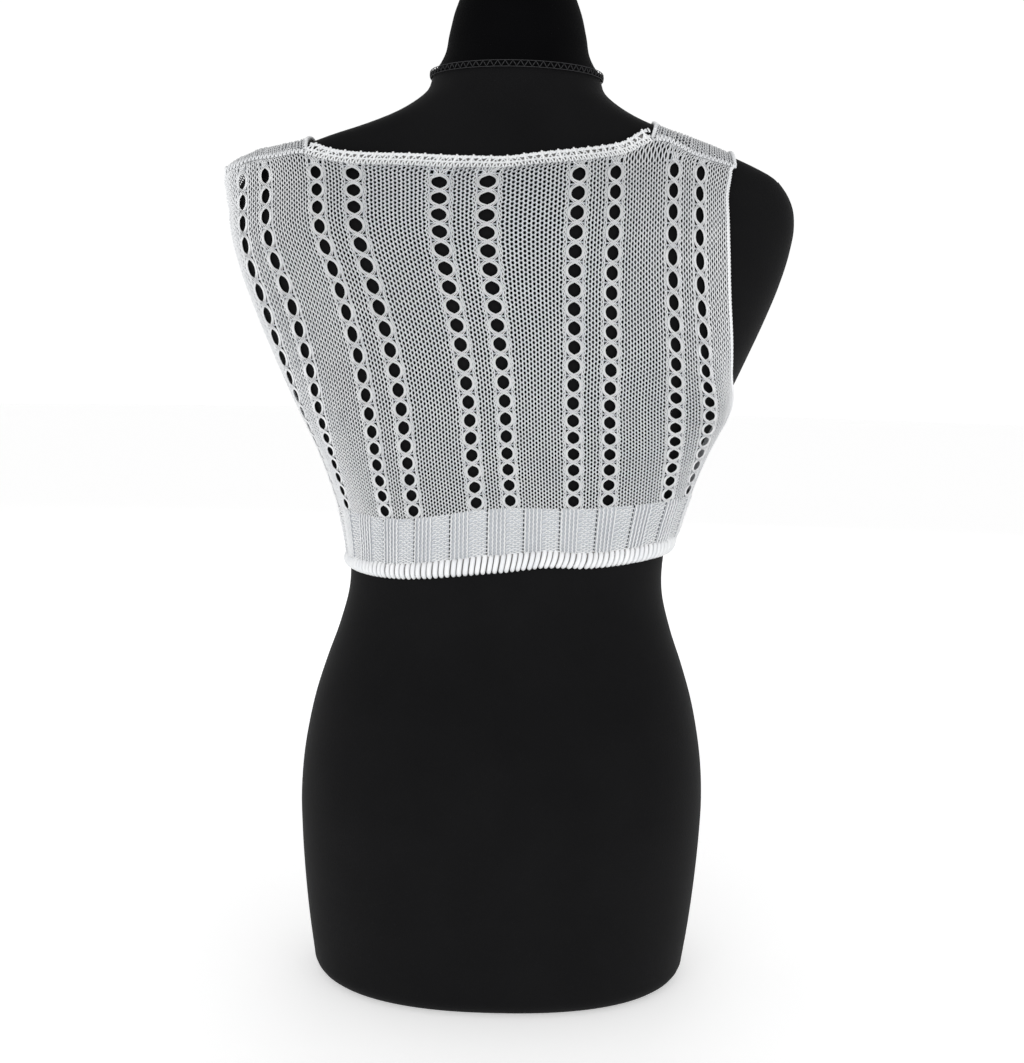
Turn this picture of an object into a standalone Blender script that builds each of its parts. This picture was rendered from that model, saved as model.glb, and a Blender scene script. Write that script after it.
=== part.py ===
"""A sleeveless knit crop top, worn by a limbless dress form, as closed solids.

The part stands on the flat base of the form: +Z is up, the origin is the centre of that base
and the back of the top faces -Y. Tables are in millimetres, everything else is in metres.
The form is a stack of rounded sections. The cloth is worked out on the same surface: a panel
has its own coordinates, `across` in widths of a plain wale and `lace_row` in rows of holes.
"""

import math

import bmesh
import bpy
import numpy as np

MM = 0.001

# ---- driving sizes of the cloth ----
CLEARANCE = 1.0 * MM        # from the form to the inside of the cloth
EASE = 0.2 * MM             # the part of it that straight edges may use up on a round place
WALL = 2.0 * MM             # thickness of the knit
SEAM_GAP = 0.5 * MM         # between pieces that are sewn together
SHOULDER_GAP = 1.0 * MM     # the same along the shoulders, where the panels curve over a ridge
ARMHOLE_RISE = 0.6 * MM     # the firm edge wales stand proud of the panel
RIB_RISE = 0.9 * MM         # knit ribs above the purl ground
HEM_THICKNESS = 3.8 * MM
NECK_THICKNESS = 3.0 * MM
NECK_CLEARANCE = 1.6 * MM
NECK_GAP = 0.9 * MM         # over the top edge of a panel
NECK_HEIGHT = 7.5 * MM
HEM_LIFT = 2.5 * MM         # the hem rides up at the small of the back
HEM_LIFT_PLACE = 28 * MM
HEM_LIFT_WIDTH = 22 * MM

# ---- the lace chart, across a panel in widths of a plain wale ----
EDGE_WALES = 5.5
HOLE_WALES = 2.65
PAIR_WALES = 3.0
GROUND_WALES = 8.0
PAIRS = 5
REPEAT = 2 * HOLE_WALES + PAIR_WALES + GROUND_WALES
ACROSS = 2 * EDGE_WALES + PAIRS * REPEAT - GROUND_WALES
LACE_ROWS = 19
FRONT_ROWS_CUT = (9, 19)    # the rows of the front that are cut through, its largest holes
HOLE_WIDE = 0.41            # half width and half height of a hole, as shares of its cell
HOLE_TALL = 0.34
FIRST_LINE = 0.5            # the lace rows where the panel starts and ends
LAST_TABLE_ROW = 19.5
TOP_LINE = 21.5
BACK_YOKE_STEPS = 1
FRONT_YOKE_STEPS = 9       # the front goes on over the ridge of the shoulder
UNDERARM_ROW = 7.5
FRONT_LINES_SPARED = (1.5, 3.5, 6.5)   # uncut rows of the front share a grid cell
RIB_REPEAT = 6.2            # wales from one knit rib to the next
RIB_START = 3.4
RIB_SHARE = 0.48            # of a rib repeat that is raised

# ---- the dress form: height, half width, depth behind, depth in front, the share of that
# depth which the outer ends keep, and the roundness of the section (2 is an ellipse) ----
FORM_SECTIONS = (
    (14, 143.0, 107.0, 92, 1.00, 2.30),
    (40, 146.5, 110.0, 95, 1.00, 2.30),
    (75, 150.0, 114.0, 98, 1.00, 2.30),
    (110, 152.3, 117.0, 100, 1.00, 2.30),
    (140, 153.0, 118.0, 100, 1.00, 2.30),
    (165, 151.3, 115.5, 100, 1.00, 2.30),
    (190, 147.5, 110.0, 98, 1.00, 2.30),
    (215, 142.0, 102.0, 95, 1.00, 2.30),
    (240, 134.3, 92.0, 91, 1.00, 2.30),
    (268, 124.5, 83.0, 88, 1.00, 2.30),
    (297, 117.5, 79.0, 86, 1.00, 2.30),
    (325, 118.0, 80.5, 89, 1.00, 2.30),
    (350, 122.7, 85.0, 95, 1.00, 2.30),
    (375, 130.5, 91.0, 102, 1.00, 2.30),
    (400, 140.0, 96.0, 109, 1.00, 2.35),
    (425, 152.0, 100.0, 116, 1.00, 2.40),
    (450, 164.0, 103.0, 121, 0.97, 2.40),
    (475, 175.3, 105.0, 123, 0.91, 2.40),
    (500, 186.0, 106.0, 121, 0.83, 2.40),
    (525, 195.5, 106.0, 115, 0.75, 2.40),
    (550, 202.5, 103.5, 105, 0.67, 2.45),
    (568, 205.0, 99.0, 96, 0.61, 2.50),
    (583, 203.0, 92.5, 87, 0.55, 2.50),
    (595, 196.5, 85.0, 79, 0.50, 2.50),
    (603, 189.0, 79.0, 74, 0.48, 2.45),
    (611, 173.5, 74.0, 69, 0.48, 2.40),
    (618, 157.0, 69.0, 65, 0.52, 2.30),
    (626, 137.0, 65.0, 62, 0.60, 2.20),
    (635, 110.0, 61.0, 60, 0.72, 2.10),
    (643, 89.5, 58.0, 58, 0.85, 2.05),
    (651, 75.0, 56.0, 56, 0.95, 2.00),
    (659, 65.0, 54.5, 55, 1.00, 2.00),
    (669, 61.0, 54.0, 55, 1.00, 2.00),
)
BASE_ROUNDING = 14 * MM
SPINE_SPREAD = 0.42         # how far the full depth spreads, as a share of the half width
FORM_SIDES = 28
FORM_RINGS = (14, 60, 110, 150, 190, 225, 260, 297, 325, 355, 385, 415, 445, 475, 500, 525, 550, 568,
              583, 595, 603, 611, 618, 626, 635, 643, 651, 659, 669)
NECK_SEAM = 671 * MM        # where the cap of the neck is sewn on
CAP_SECTIONS = (            # height, half width, half depth
    (671.3, 61.2, 55.0), (676, 57.5, 53.0), (684, 53.0, 50.0), (700, 49.5, 47.5),
    (718, 44.8, 43.5), (734, 37.0, 36.5), (745, 26.0, 26.0), (751, 13.0, 13.0),
)
CAP_SIDES = 20

# ---- slack of the cloth beyond the form: height, to the left, to the right ----
SLACK = (
    (325, 0.0, 0.0), (345, 0.0, 5.5), (425, 0.0, 5.5), (462, 0.0, 0.0), (572, 0.0, 0.0),
    (585, 5.0, 0.0), (595, 12.5, 0.0), (602, 18.0, 0.0), (608, 20.0, 0.0), (614, 20.0, 0.0),
    (620, 8.0, 0.0), (630, 0.0, 0.0),
)
SLACK_BLEND = 25            # how softly the left slack passes into the right one

# ---- how the panels lie: for a lace row, the way round from the centre of the back or of the
# front at the left edge, the middle of each pair of lace columns and the right edge, and then
# the heights of the same seven places ----
STATIONS = (0.0, 9.65, 25.95, 42.25, 58.55, 74.85, 84.5)
BACK_LIE = (
    (0.5, -172, -138, -76.5, -9.0, 58, 134.5, 184, 357, 358, 355.5, 366, 367, 371.5, 374),
    (4.0, -192, -149, -81.6, -12.8, 57.2, 136, 196, 388, 391, 394.8, 404.5, 405.4, 404.7, 404),
    (7.0, -208, -155, -86.0, -15.4, 55.8, 133.8, 198, 413, 419, 431.6, 440.5, 439.5, 432.8, 430),
    (10.0, -218, -160, -95.1, -20.3, 56, 129.2, 172, 447, 455, 471.2, 478.6, 476.6, 465.2, 458),
    (13.0, -229, -173.6, -111.4, -27.4, 55.8, 126.4, 161, 490, 498.5, 514.8, 515.7, 515.3, 507.6, 501),
    (16.0, -235, -193.8, -129.3, -33.6, 57.2, 126.6, 159, 540, 547.1, 557.8, 552, 554.5, 555.6, 551),
    (19.0, -229, -196.5, -135.4, -34.6, 60, 130.6, 160, 584, 591.8, 595, 585.4, 595.4, 601.6, 596),
)
FRONT_LIE = (
    (0.5, -178.8, -145, -76, -2, 74, 149, 192.2, 357, 358, 361, 364, 366, 370, 374),
    (4.0, -189.4, -152, -78, 2, 83, 162, 212.7, 388, 390, 394, 399, 401, 402, 404),
    (7.0, -202.7, -160, -82, 0, 84, 166, 240.4, 413, 416, 427, 434, 435, 432, 430),
    (10.0, -196, -158, -82, -4, 78, 150, 186, 447, 450, 461, 469, 470, 463, 456),
    (13.0, -196, -164, -90, -10, 72, 140, 170, 486, 491, 502, 505, 505, 501, 495),
    (16.0, -206, -176, -104, -18, 66, 132, 160, 532, 536, 540, 540, 541, 543, 541),
    (19.0, -220, -190, -122, -28, 62, 130, 160, 578, 580, 578, 575, 578, 586, 587),
)
# ---- the top edge of the panels: across, and then x, y and z. Both have the shoulder seams,
# which lie behind the ridge of the shoulder, and a neckline of their own between them ----
LEFT_SHOULDER = (
    (0.0, -210, -12, 599), (5.5, -201, -18, 603), (9.65, -190, -21, 606.5),
    (16.0, -172, -26, 609), (21.8, -150, -30, 611.5),
)
RIGHT_SHOULDER = ((66.7, 98, -33, 625), (74.85, 129, -28.5, 616), (84.5, 158.5, -25, 608))
BACK_NECKLINE = (
    (25.95, -131, -37.5, 606.5), (34.1, -83, -57, 603), (42.25, -32, -80, 599),
    (46.4, -6, -85.5, 598.7), (50.4, 18, -81, 602), (58.55, 61, -58, 610), (62.7, 80, -44.5, 615.5),
)
FRONT_NECKLINE = (
    (17.8, -150, 18, 617), (21.8, -139, 31, 607.5), (24.45, -128, 38, 602), (27.45, -114, 45, 597.5),
    (30.1, -100, 51, 595), (34.1, -80, 58, 593), (42.25, -35, 71, 591), (50.4, 18, 75, 592),
    (57.05, 58, 63, 596), (60.05, 70, 56, 599), (62.7, 79, 49, 603), (66.7, 91, 38, 610),
    (70.7, 99, 24, 620),
)
NECK_CORNERS = (21.8, 66.7)
FRONT_CORNERS = (17.8, 70.7)    # the front's straps go on over the ridge to the same corners
FRONT_NECK_ROW = 19.9           # and between them the front ends here
YOKE_ARCH = 0.5             # how high the way over the shoulder arches, as a share of its length
# ---- the waist: the way round and the heights of the seven places, at the foot of the ribs
# and at the lower edge of the hem ----
BACK_WAIST = (
    (1.0, -168, -136, -77, -9, 57, 126, 173, 324, 323.5, 324.3, 334.3, 336, 342, 343),
    (0.0, -167, -135, -77, -9, 57, 125, 171, 317, 313.5, 311.8, 319.2, 323, 328, 329),
)
FRONT_WAIST = (
    (1.0, -160.4, -134, -73, -1, 72, 141, 174.8, 324, 324, 328, 332, 335, 340, 343),
    (0.0, -159.0, -133, -73, -2, 68, 131, 161.6, 317, 312, 314, 317, 320, 325, 329),
)

COTTON = ("white_cotton", (0.86, 0.87, 0.88), 0.85)
JERSEY = ("charcoal_jersey", (0.022, 0.022, 0.024), 0.8)


# ---------------------------------------------------------------- curves through tables
def through(rows, places):
    """A smooth curve through the rows: the first column is the place, the rest follow it."""
    knots = np.asarray(rows, float)
    at, value = knots[:, 0], knots[:, 1:]
    step = np.diff(at)
    slope = np.diff(value, axis=0) / step[:, None]
    bend = np.empty_like(value)
    bend[0], bend[-1] = slope[0], slope[-1]
    weight = (step[:-1] + step[1:])[:, None]
    bend[1:-1] = (slope[:-1] * step[1:, None] + slope[1:] * step[:-1, None]) / weight
    places = np.clip(np.asarray(places, float), at[0], at[-1])
    span = np.clip(np.searchsorted(at, places, side="right") - 1, 0, len(at) - 2)
    width = step[span][..., None]
    t = ((places - at[span]) / step[span])[..., None]
    start = (2 * t**3 - 3 * t**2 + 1) * value[span] + (t**3 - 2 * t**2 + t) * width * bend[span]
    end = (3 * t**2 - 2 * t**3) * value[span + 1] + (t**3 - t**2) * width * bend[span + 1]
    return start + end


# ---------------------------------------------------------------- the surface
def slack(x, z):
    """How far the cloth stands beyond the side of the form, for points in metres."""
    rows = np.asarray(SLACK)
    left = np.interp(z, rows[:, 0] * MM, rows[:, 1]) * MM
    right = np.interp(z, rows[:, 0] * MM, rows[:, 2]) * MM
    share = 1 / (1 + np.exp(-x / (SLACK_BLEND * MM)))
    return right * share + left * (1 - share)


def level(points, worn):
    """1 on the surface of the form, or of the cloth's own lie where worn, and less inside."""
    x, y, z = points[..., 0], points[..., 1], points[..., 2]
    section = through(FORM_SECTIONS, z / MM)
    half, behind, ahead = (section[..., n] * MM for n in range(3))
    wing, roundness = section[..., 3], section[..., 4]
    if worn:
        half = half + slack(x, z)
    depth = np.where(y < 0, behind, ahead)
    depth = depth * (wing + (1 - wing) * np.exp(-((x / (SPINE_SPREAD * half)) ** 2)))
    return (np.abs(x) / half) ** roundness + (np.abs(y) / depth) ** roundness


def steepest(points, worn, reach=0.05 * MM):
    """The gradient of the level, which points straight out of the surface."""
    parts = []
    for axis in np.eye(3) * reach:
        parts.append((level(points + axis, worn) - level(points - axis, worn)) / (2 * reach))
    return np.stack(parts, -1)


def onto_surface(points, worn=True, rounds=14, longest=8 * MM):
    points = np.array(points, float)
    for _ in range(rounds):
        uphill = steepest(points, worn)
        excess = (level(points, worn) - 1)[..., None]
        move = excess * uphill / np.maximum((uphill**2).sum(-1, keepdims=True), 1e-12)
        length = np.linalg.norm(move, axis=-1, keepdims=True)
        points = points - move * np.minimum(1, longest / np.maximum(length, 1e-12))
    return points


def outward(points, worn=True):
    uphill = steepest(points, worn)
    return uphill / np.linalg.norm(uphill, axis=-1, keepdims=True)


def section_ring(z, worn, sides):
    """The section at one height as points that run from the back to +X, the front and -X."""
    turn = np.linspace(0, 2 * math.pi, sides + 1)
    half, behind, ahead = through(FORM_SECTIONS, np.array([z / MM]))[0][:3] * MM
    deep = np.where(np.cos(turn) > 0, behind, ahead)
    ray = np.stack([np.sin(turn) * half, -np.cos(turn) * deep, np.zeros_like(turn)], -1)
    near, far = np.zeros_like(turn), np.full_like(turn, 2.0)
    for _ in range(40):
        middle = (near + far) / 2
        outside = level(ray * middle[:, None] + [0, 0, z], worn) > 1
        near, far = np.where(outside, near, middle), np.where(outside, middle, far)
    return ray * near[:, None] + [0, 0, z]


class Lie:
    """The cloth's surface as a table: the point a given way round from the centre of the back
    or of the front, at a given height."""

    LOWEST, HIGHEST, LEVELS, PLACES = 0.300, 0.612, 79, 121

    def __init__(self, front):
        self.heights = np.linspace(self.LOWEST, self.HIGHEST, self.LEVELS)
        self.share = np.linspace(-1, 1, self.PLACES)
        self.plan, self.quarters = [], []
        sides = 720
        for z in self.heights:
            ring = section_ring(z, True, sides)[:-1]
            if front:
                ring = np.roll(ring[::-1], sides // 2 + 1, axis=0)
            middle = np.roll(ring, sides // 2, axis=0)
            way = np.concatenate([[0], np.cumsum(np.linalg.norm(np.diff(middle, axis=0), axis=1))])
            way -= way[sides // 2]
            left, right = -way[sides // 4], way[3 * sides // 4]
            self.quarters.append((left, right))
            reach = np.where(self.share < 0, left, right) * self.share * 1.45
            self.plan.append([np.interp(reach, way, middle[:, axis]) for axis in (0, 1)])
        self.plan, self.quarters = np.array(self.plan), np.array(self.quarters)

    def quarter(self, z, right):
        return np.interp(z, self.heights, self.quarters[:, int(right)])

    def point(self, way, z):
        way, z = np.asarray(way, float), np.asarray(z, float)
        quarter = np.where(way < 0, self.quarter(z, False), self.quarter(z, True))
        column = (way / (quarter * 1.45) + 1) / 2 * (self.PLACES - 1)
        column = np.clip(column, 0, self.PLACES - 1.001)
        row = (z - self.LOWEST) / (self.HIGHEST - self.LOWEST) * (self.LEVELS - 1)
        row = np.clip(row, 0, self.LEVELS - 1.001)
        c, r = column.astype(int), row.astype(int)
        s, t = column - c, row - r
        spots = []
        for axis in (0, 1):
            grid = self.plan[:, axis]
            low = grid[r, c] * (1 - s) + grid[r, c + 1] * s
            high = grid[r + 1, c] * (1 - s) + grid[r + 1, c + 1] * s
            spots.append(low * (1 - t) + high * t)
        return np.stack([*spots, z], -1)


# ---------------------------------------------------------------- the panels' coordinates
def with_half_a_row(rows):
    """The table of a panel with half a lace row added above its last one."""
    last, before = np.array(rows[-1]), np.array(rows[-2])
    step = 2 * (last[0] - before[0])
    return (*rows, tuple(last + (last - before) / step))


def lie_at(rows, across, place):
    """The way round and the height, in metres, at a place in the table of a panel."""
    across, place = np.broadcast_arrays(np.asarray(across, float), np.asarray(place, float))
    found = through(rows, place.ravel())
    ways, heights = found[:, : len(STATIONS)], found[:, len(STATIONS) :]
    result = np.empty((across.size, 2))
    for n, u in enumerate(across.ravel()):
        knots = np.stack([STATIONS, ways[n], heights[n]], -1)
        result[n] = through(knots, np.array([u]))[0] * MM
    return result.reshape(*across.shape, 2)


def between_straps(across, front):
    """Where the front's own neckline is its top edge, and not a shoulder seam."""
    return (across > FRONT_CORNERS[0] + 0.01) & (across < FRONT_CORNERS[1] - 0.01) & front


def top_point(across, front):
    """The top edge of a panel: the shoulder seams, and the neckline between them."""
    if not front:
        return through(LEFT_SHOULDER + BACK_NECKLINE + RIGHT_SHOULDER, across) * MM
    left, right = np.array(LEFT_SHOULDER), np.array(RIGHT_SHOULDER)
    left[:, 0] *= FRONT_CORNERS[0] / NECK_CORNERS[0]
    narrower = (ACROSS - FRONT_CORNERS[1]) / (ACROSS - NECK_CORNERS[1])
    right[:, 0] = ACROSS - (ACROSS - right[:, 0]) * narrower
    seam = np.where((across < ACROSS / 2)[..., None], through(left, across), through(right, across))
    middle = between_straps(across, front)[..., None]
    return np.where(middle, through(FRONT_NECKLINE, across), seam) * MM


def panel_point(lie, rows, front, across, lace_row):
    """A point of a panel on the surface that the cloth lies on."""
    across, lace_row = np.broadcast_arrays(np.asarray(across, float), np.asarray(lace_row, float))
    found = lie_at(rows, across, np.minimum(lace_row, LAST_TABLE_ROW))
    low = lie.point(found[..., 0], found[..., 1])
    middle = between_straps(across, front)
    last = np.where(middle, FRONT_NECK_ROW, TOP_LINE)
    share = np.clip((lace_row - LAST_TABLE_ROW) / (last - LAST_TABLE_ROW), 0, 1)[..., None]
    high = top_point(across, front)
    arch = (low + high) / 2
    arch[..., 2] += np.linalg.norm(high - low, axis=-1) * np.where(middle, 0, YOKE_ARCH)
    return onto_surface(low * (1 - share) ** 2 + arch * 2 * share * (1 - share) + high * share**2)


# ---------------------------------------------------------------- walls from grids of points
def strays(base, worn, outside):
    """How far the edges and diagonals at each point of a grid lie outside the surface, or
    inside it, where they cut across a hollow or a round place."""
    furthest = np.zeros(base.shape[:2])
    every, first, last = slice(None), slice(None, -1), slice(1, None)
    edges = ((last, every), (first, every)), ((every, last), (every, first))
    diagonals = ((last, last), (first, first)), ((last, first), (first, last))
    for one, other in edges + diagonals:
        middle = (base[one] + base[other]) / 2
        depth = np.linalg.norm(middle - onto_surface(middle, worn), axis=-1)
        depth = np.nan_to_num(np.where((level(middle, worn) > 1) == outside, depth, 0))
        furthest[one] = np.maximum(furthest[one], depth)
        furthest[other] = np.maximum(furthest[other], depth)
    return furthest[..., None]


def new_object(name, mesh_tool, material, smooth=True):
    mesh = bpy.data.meshes.new(name)
    bmesh.ops.recalc_face_normals(mesh_tool, faces=mesh_tool.faces)
    if mesh_tool.calc_volume(signed=True) < 0:
        bmesh.ops.reverse_faces(mesh_tool, faces=mesh_tool.faces)
    mesh_tool.to_mesh(mesh)
    mesh_tool.free()
    if smooth:
        mesh.shade_smooth()
        mesh.set_sharp_from_angle(angle=math.radians(50))
    mesh.materials.append(material)
    piece = bpy.data.objects.new(name, mesh)
    bpy.context.collection.objects.link(piece)
    return piece


def wall(name, base, thickness, material, cells=None, hole_points=None, present=None):
    """A closed wall over a grid of base points. `thickness` is for each grid point. `cells`
    marks the grid cells with a hole, whose six points `hole_points` gives for each cell, and
    `present` the cells that are there at all."""
    rows, columns = base.shape[:2]
    if present is None:
        present = np.ones((rows - 1, columns - 1), bool)
    build = bmesh.new()
    normal = outward(base)
    base = base + normal * np.maximum(strays(base, True, False) - EASE, 0)
    levels = (base + normal * (CLEARANCE + thickness)[..., None], base + normal * CLEARANCE)
    made = [{}, {}]

    def vertex(skin, place):
        if place not in made[skin]:
            made[skin][place] = build.verts.new(levels[skin][place])
        return made[skin][place]

    for r, c in zip(*np.nonzero(present)):
        corners = [(r, c), (r, c + 1), (r + 1, c + 1), (r + 1, c)]
        skins = [[vertex(skin, place) for place in corners] for skin in (0, 1)]
        if cells is None or not cells[r, c]:
            build.faces.new(skins[0])
            build.faces.new(skins[1][::-1])
        else:
            holed_cell(build, skins, hole_points[r, c])
        beside = ((r - 1, c), (r, c + 1), (r + 1, c), (r, c - 1))
        for n, (i, j) in enumerate(beside):
            m = (n + 1) % 4
            if not (0 <= i < rows - 1 and 0 <= j < columns - 1 and present[i, j]):
                build.faces.new([skins[0][m], skins[0][n], skins[1][n], skins[1][m]])
    return new_object(name, build, material)


def holed_cell(build, skins, hexagon):
    """One cell of the wall round a six-sided hole."""
    normal = outward(hexagon)
    around = []
    for corners, depth, turn in ((skins[0], CLEARANCE + WALL, 1), (skins[1], CLEARANCE, -1)):
        ring = [build.verts.new(point) for point in hexagon + normal * depth]
        low_left, low_right, high_right, high_left = corners
        right, up_right, up_left, left, down_left, down_right = ring
        for face in (
            (low_right, high_right, right),
            (high_right, up_right, right),
            (high_right, high_left, up_left, up_right),
            (high_left, left, up_left),
            (high_left, low_left, left),
            (low_left, down_left, left),
            (low_left, low_right, down_right, down_left),
            (low_right, right, down_right),
        ):
            build.faces.new(face[::turn])
        around.append(ring)
    for n in range(6):
        m = (n + 1) % 6
        build.faces.new([around[0][n], around[0][m], around[1][m], around[1][n]])


def chart_lines():
    """The grid lines across a panel, and which of the cells between them hold lace holes."""
    lines, holed = [0.0, EDGE_WALES / 2, EDGE_WALES], [False, False]
    for pair in range(PAIRS):
        for width, is_hole in ((HOLE_WALES, True), (PAIR_WALES, False), (HOLE_WALES, True)):
            lines.append(lines[-1] + width)
            holed.append(is_hole)
        if pair < PAIRS - 1:
            for _ in range(2):
                lines.append(lines[-1] + GROUND_WALES / 2)
                holed.append(False)
    for _ in range(2):
        lines.append(lines[-1] + EDGE_WALES / 2)
        holed.append(False)
    return np.array(lines), np.array(holed)


def panel_lines(front):
    """The grid lines up a panel: one for each lace row, and a few over the shoulder."""
    lace = np.arange(LACE_ROWS + 1) + FIRST_LINE
    if front:
        lace = lace[~np.isin(lace, FRONT_LINES_SPARED)]
    if front:
        yoke = np.linspace(FRONT_NECK_ROW, TOP_LINE, FRONT_YOKE_STEPS)
    else:
        yoke = np.linspace(lace[-1], TOP_LINE, BACK_YOKE_STEPS + 1)[1:]
    return np.concatenate([lace, yoke])


def drawn_in(points, neighbours, distance):
    """Edge points moved towards their neighbours, to leave the gap of a seam."""
    way = neighbours - points
    return points + way / np.linalg.norm(way, axis=-1, keepdims=True) * distance


def panel_grid(lie, rows, front):
    """The points of a panel. Those over the neckline of the front are no numbers."""
    lines, _ = chart_lines()
    levels = panel_lines(front)[:, None]
    grid = panel_point(lie, rows, front, lines[None, :], levels)
    grid[between_straps(lines, front) & (levels > FRONT_NECK_ROW + 0.01)] = np.nan
    return grid


def part_seams(back, front):
    """Give both panels the same seams, at the sides and shoulders, a seam gap apart."""
    lines, _ = chart_lines()
    rows, front_rows = panel_lines(False), panel_lines(True)
    rows, front_rows = rows[rows <= UNDERARM_ROW], front_rows[front_rows <= UNDERARM_ROW]
    shared, sewn, front_sewn = np.isin(rows, front_rows), len(rows), len(front_rows)
    for edge, beside in ((0, 1), (-1, -2)):
        meeting = back[:sewn, edge][shared]
        seam = np.stack([np.interp(rows, front_rows, meeting[:, axis]) for axis in range(3)], -1)
        back[:sewn, edge] = drawn_in(seam, back[:sewn, beside], SEAM_GAP / 2)
        front[:front_sewn, edge] = drawn_in(meeting, front[:front_sewn, beside], SEAM_GAP / 2)
    for left in (True, False):
        width = [edge if left else ACROSS - edge for edge in (NECK_CORNERS[not left], FRONT_CORNERS[not left])]
        inward = lines if left else ACROSS - lines
        behind, ahead = inward <= width[0] + 0.01, inward <= width[1] + 0.01
        seam = back[-1, behind].copy()
        place, order = inward[ahead] * width[0] / width[1], np.argsort(inward[behind])
        meeting = [np.interp(place, inward[behind][order], seam[order, axis]) for axis in range(3)]
        back[-1, behind] = drawn_in(seam, back[-2, behind], SHOULDER_GAP / 2)
        front[-1, ahead] = drawn_in(np.stack(meeting, -1), front[-2, ahead], SHOULDER_GAP / 2)
    return back, front


def lace_panel(name, grid, lie, rows, front, rows_cut, material):
    """A panel as a wall with its lace holes cut through and its armhole edges raised."""
    lines, holed = chart_lines()
    levels = panel_lines(front)
    thickness = np.full(grid.shape[:2], WALL)
    thickness[levels > UNDERARM_ROW, 0] += ARMHOLE_RISE
    thickness[levels > UNDERARM_ROW, -1] += ARMHOLE_RISE
    cells = np.zeros((len(levels) - 1, len(lines) - 1), bool)
    row = (levels[:-1] + levels[1:]) / 2
    cells[(row >= rows_cut[0]) & (row <= rows_cut[1])] = holed
    turn = np.radians([0, 60, 120, 180, 240, 300])
    middle = (lines[:-1] + lines[1:]) / 2
    across = middle[:, None] + np.cos(turn) * HOLE_WIDE * HOLE_WALES
    upward = np.sin(turn) * HOLE_TALL / math.sin(math.radians(60))
    lace_row = row[:, None, None] + upward
    hexagons = panel_point(lie, rows, front, across[None], lace_row)
    present = ~(between_straps(middle, front) & (row[:, None] > FRONT_NECK_ROW))
    return wall(name, grid, thickness, material, cells, hexagons, present)


# ---------------------------------------------------------------- ribs, hem and neck edging
def rib_lines():
    """Lines across the rib band, and how far the knit stands up at each of them."""
    lines, rise = [], []
    for rib in range(-1, int(ACROSS / RIB_REPEAT) + 1):
        for place, up in ((0.0, 0), (0.12, 1), (RIB_SHARE, 1), (RIB_SHARE + 0.12, 0)):
            u = RIB_START + (rib + place) * RIB_REPEAT
            if 0.4 < u < ACROSS - 0.4:
                lines.append(u)
                rise.append(up)
    lines = [0.0, *lines, ACROSS]
    rise = [rise[0], *rise, rise[-1]]
    return np.array(lines), np.array(rise) * RIB_RISE


def waist_rows(lie_rows, waist_rows_):
    """The table of a waist from the hem's lower edge up to the first line of the lace."""
    top = (2.0, *lie_rows[0][1:])
    return (waist_rows_[1], waist_rows_[0], top)


def waist_point(lie, rows, across, place):
    found = lie_at(rows, across, place)
    lift = np.exp(-(((found[..., 0] - HEM_LIFT_PLACE) / HEM_LIFT_WIDTH) ** 2)) * HEM_LIFT
    fade = np.clip(2 - np.asarray(place, float), 0, 1)
    return onto_surface(lie.point(found[..., 0], found[..., 1] + lift * fade))


def waist_grid(lie, rows, lines, places):
    """Points of a band of the waist, with half a seam gap left at each side seam."""
    return waist_point(lie, rows, lines[None, :], np.asarray(places)[:, None])


def share_side_seams(back, front):
    for edge, beside in ((0, 1), (-1, -2)):
        seam = back[:, edge].copy()
        back[:, edge] = drawn_in(seam, back[:, beside], SEAM_GAP / 2)
        front[:, edge] = drawn_in(seam, front[:, beside], SEAM_GAP / 2)


def strip(name, base, offsets, material):
    """A closed strip: `base` holds one row of points for each corner of its section, and
    `offsets` how far out from the surface that corner stands."""
    build = bmesh.new()
    eased = np.maximum(strays(base, True, False) - EASE, 0)
    rings = base + outward(base) * (np.asarray(offsets)[:, None, None] + eased)
    corners, length = rings.shape[:2]
    made = [[build.verts.new(rings[k, n]) for k in range(corners)] for n in range(length)]
    for here, there in zip(made[:-1], made[1:]):
        for k in range(corners):
            m = (k + 1) % corners
            build.faces.new([here[k], here[m], there[m], there[k]])
    build.faces.new(made[0][::-1])
    build.faces.new(made[-1])
    return new_object(name, build, material)


def rib_band(name, grid, rise, material):
    thickness = np.tile(WALL + rise, (len(grid), 1))
    return wall(name, grid, thickness, material)


HEM_SECTION = (             # place between lower edge (0) and ribs (1), share of the thickness
    (0.10, 0.0), (0.96, 0.0), (0.96, 0.75), (0.65, 1.0), (0.30, 1.0), (0.0, 0.5),
)
NECK_SECTION = (            # share of the height above the panel, share of the thickness
    (0.0, 0.0), (0.90, 0.0), (1.0, 0.5), (0.80, 1.0), (0.30, 1.0), (0.0, 0.8),
)


def hem_lines():
    return np.linspace(0, ACROSS, 33)


def hem_grid(lie, rows):
    return waist_grid(lie, rows, hem_lines(), [place for place, _ in HEM_SECTION])


def hem_edge(name, grid, material):
    return strip(name, grid, [CLEARANCE + out * HEM_THICKNESS for _, out in HEM_SECTION], material)


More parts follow.
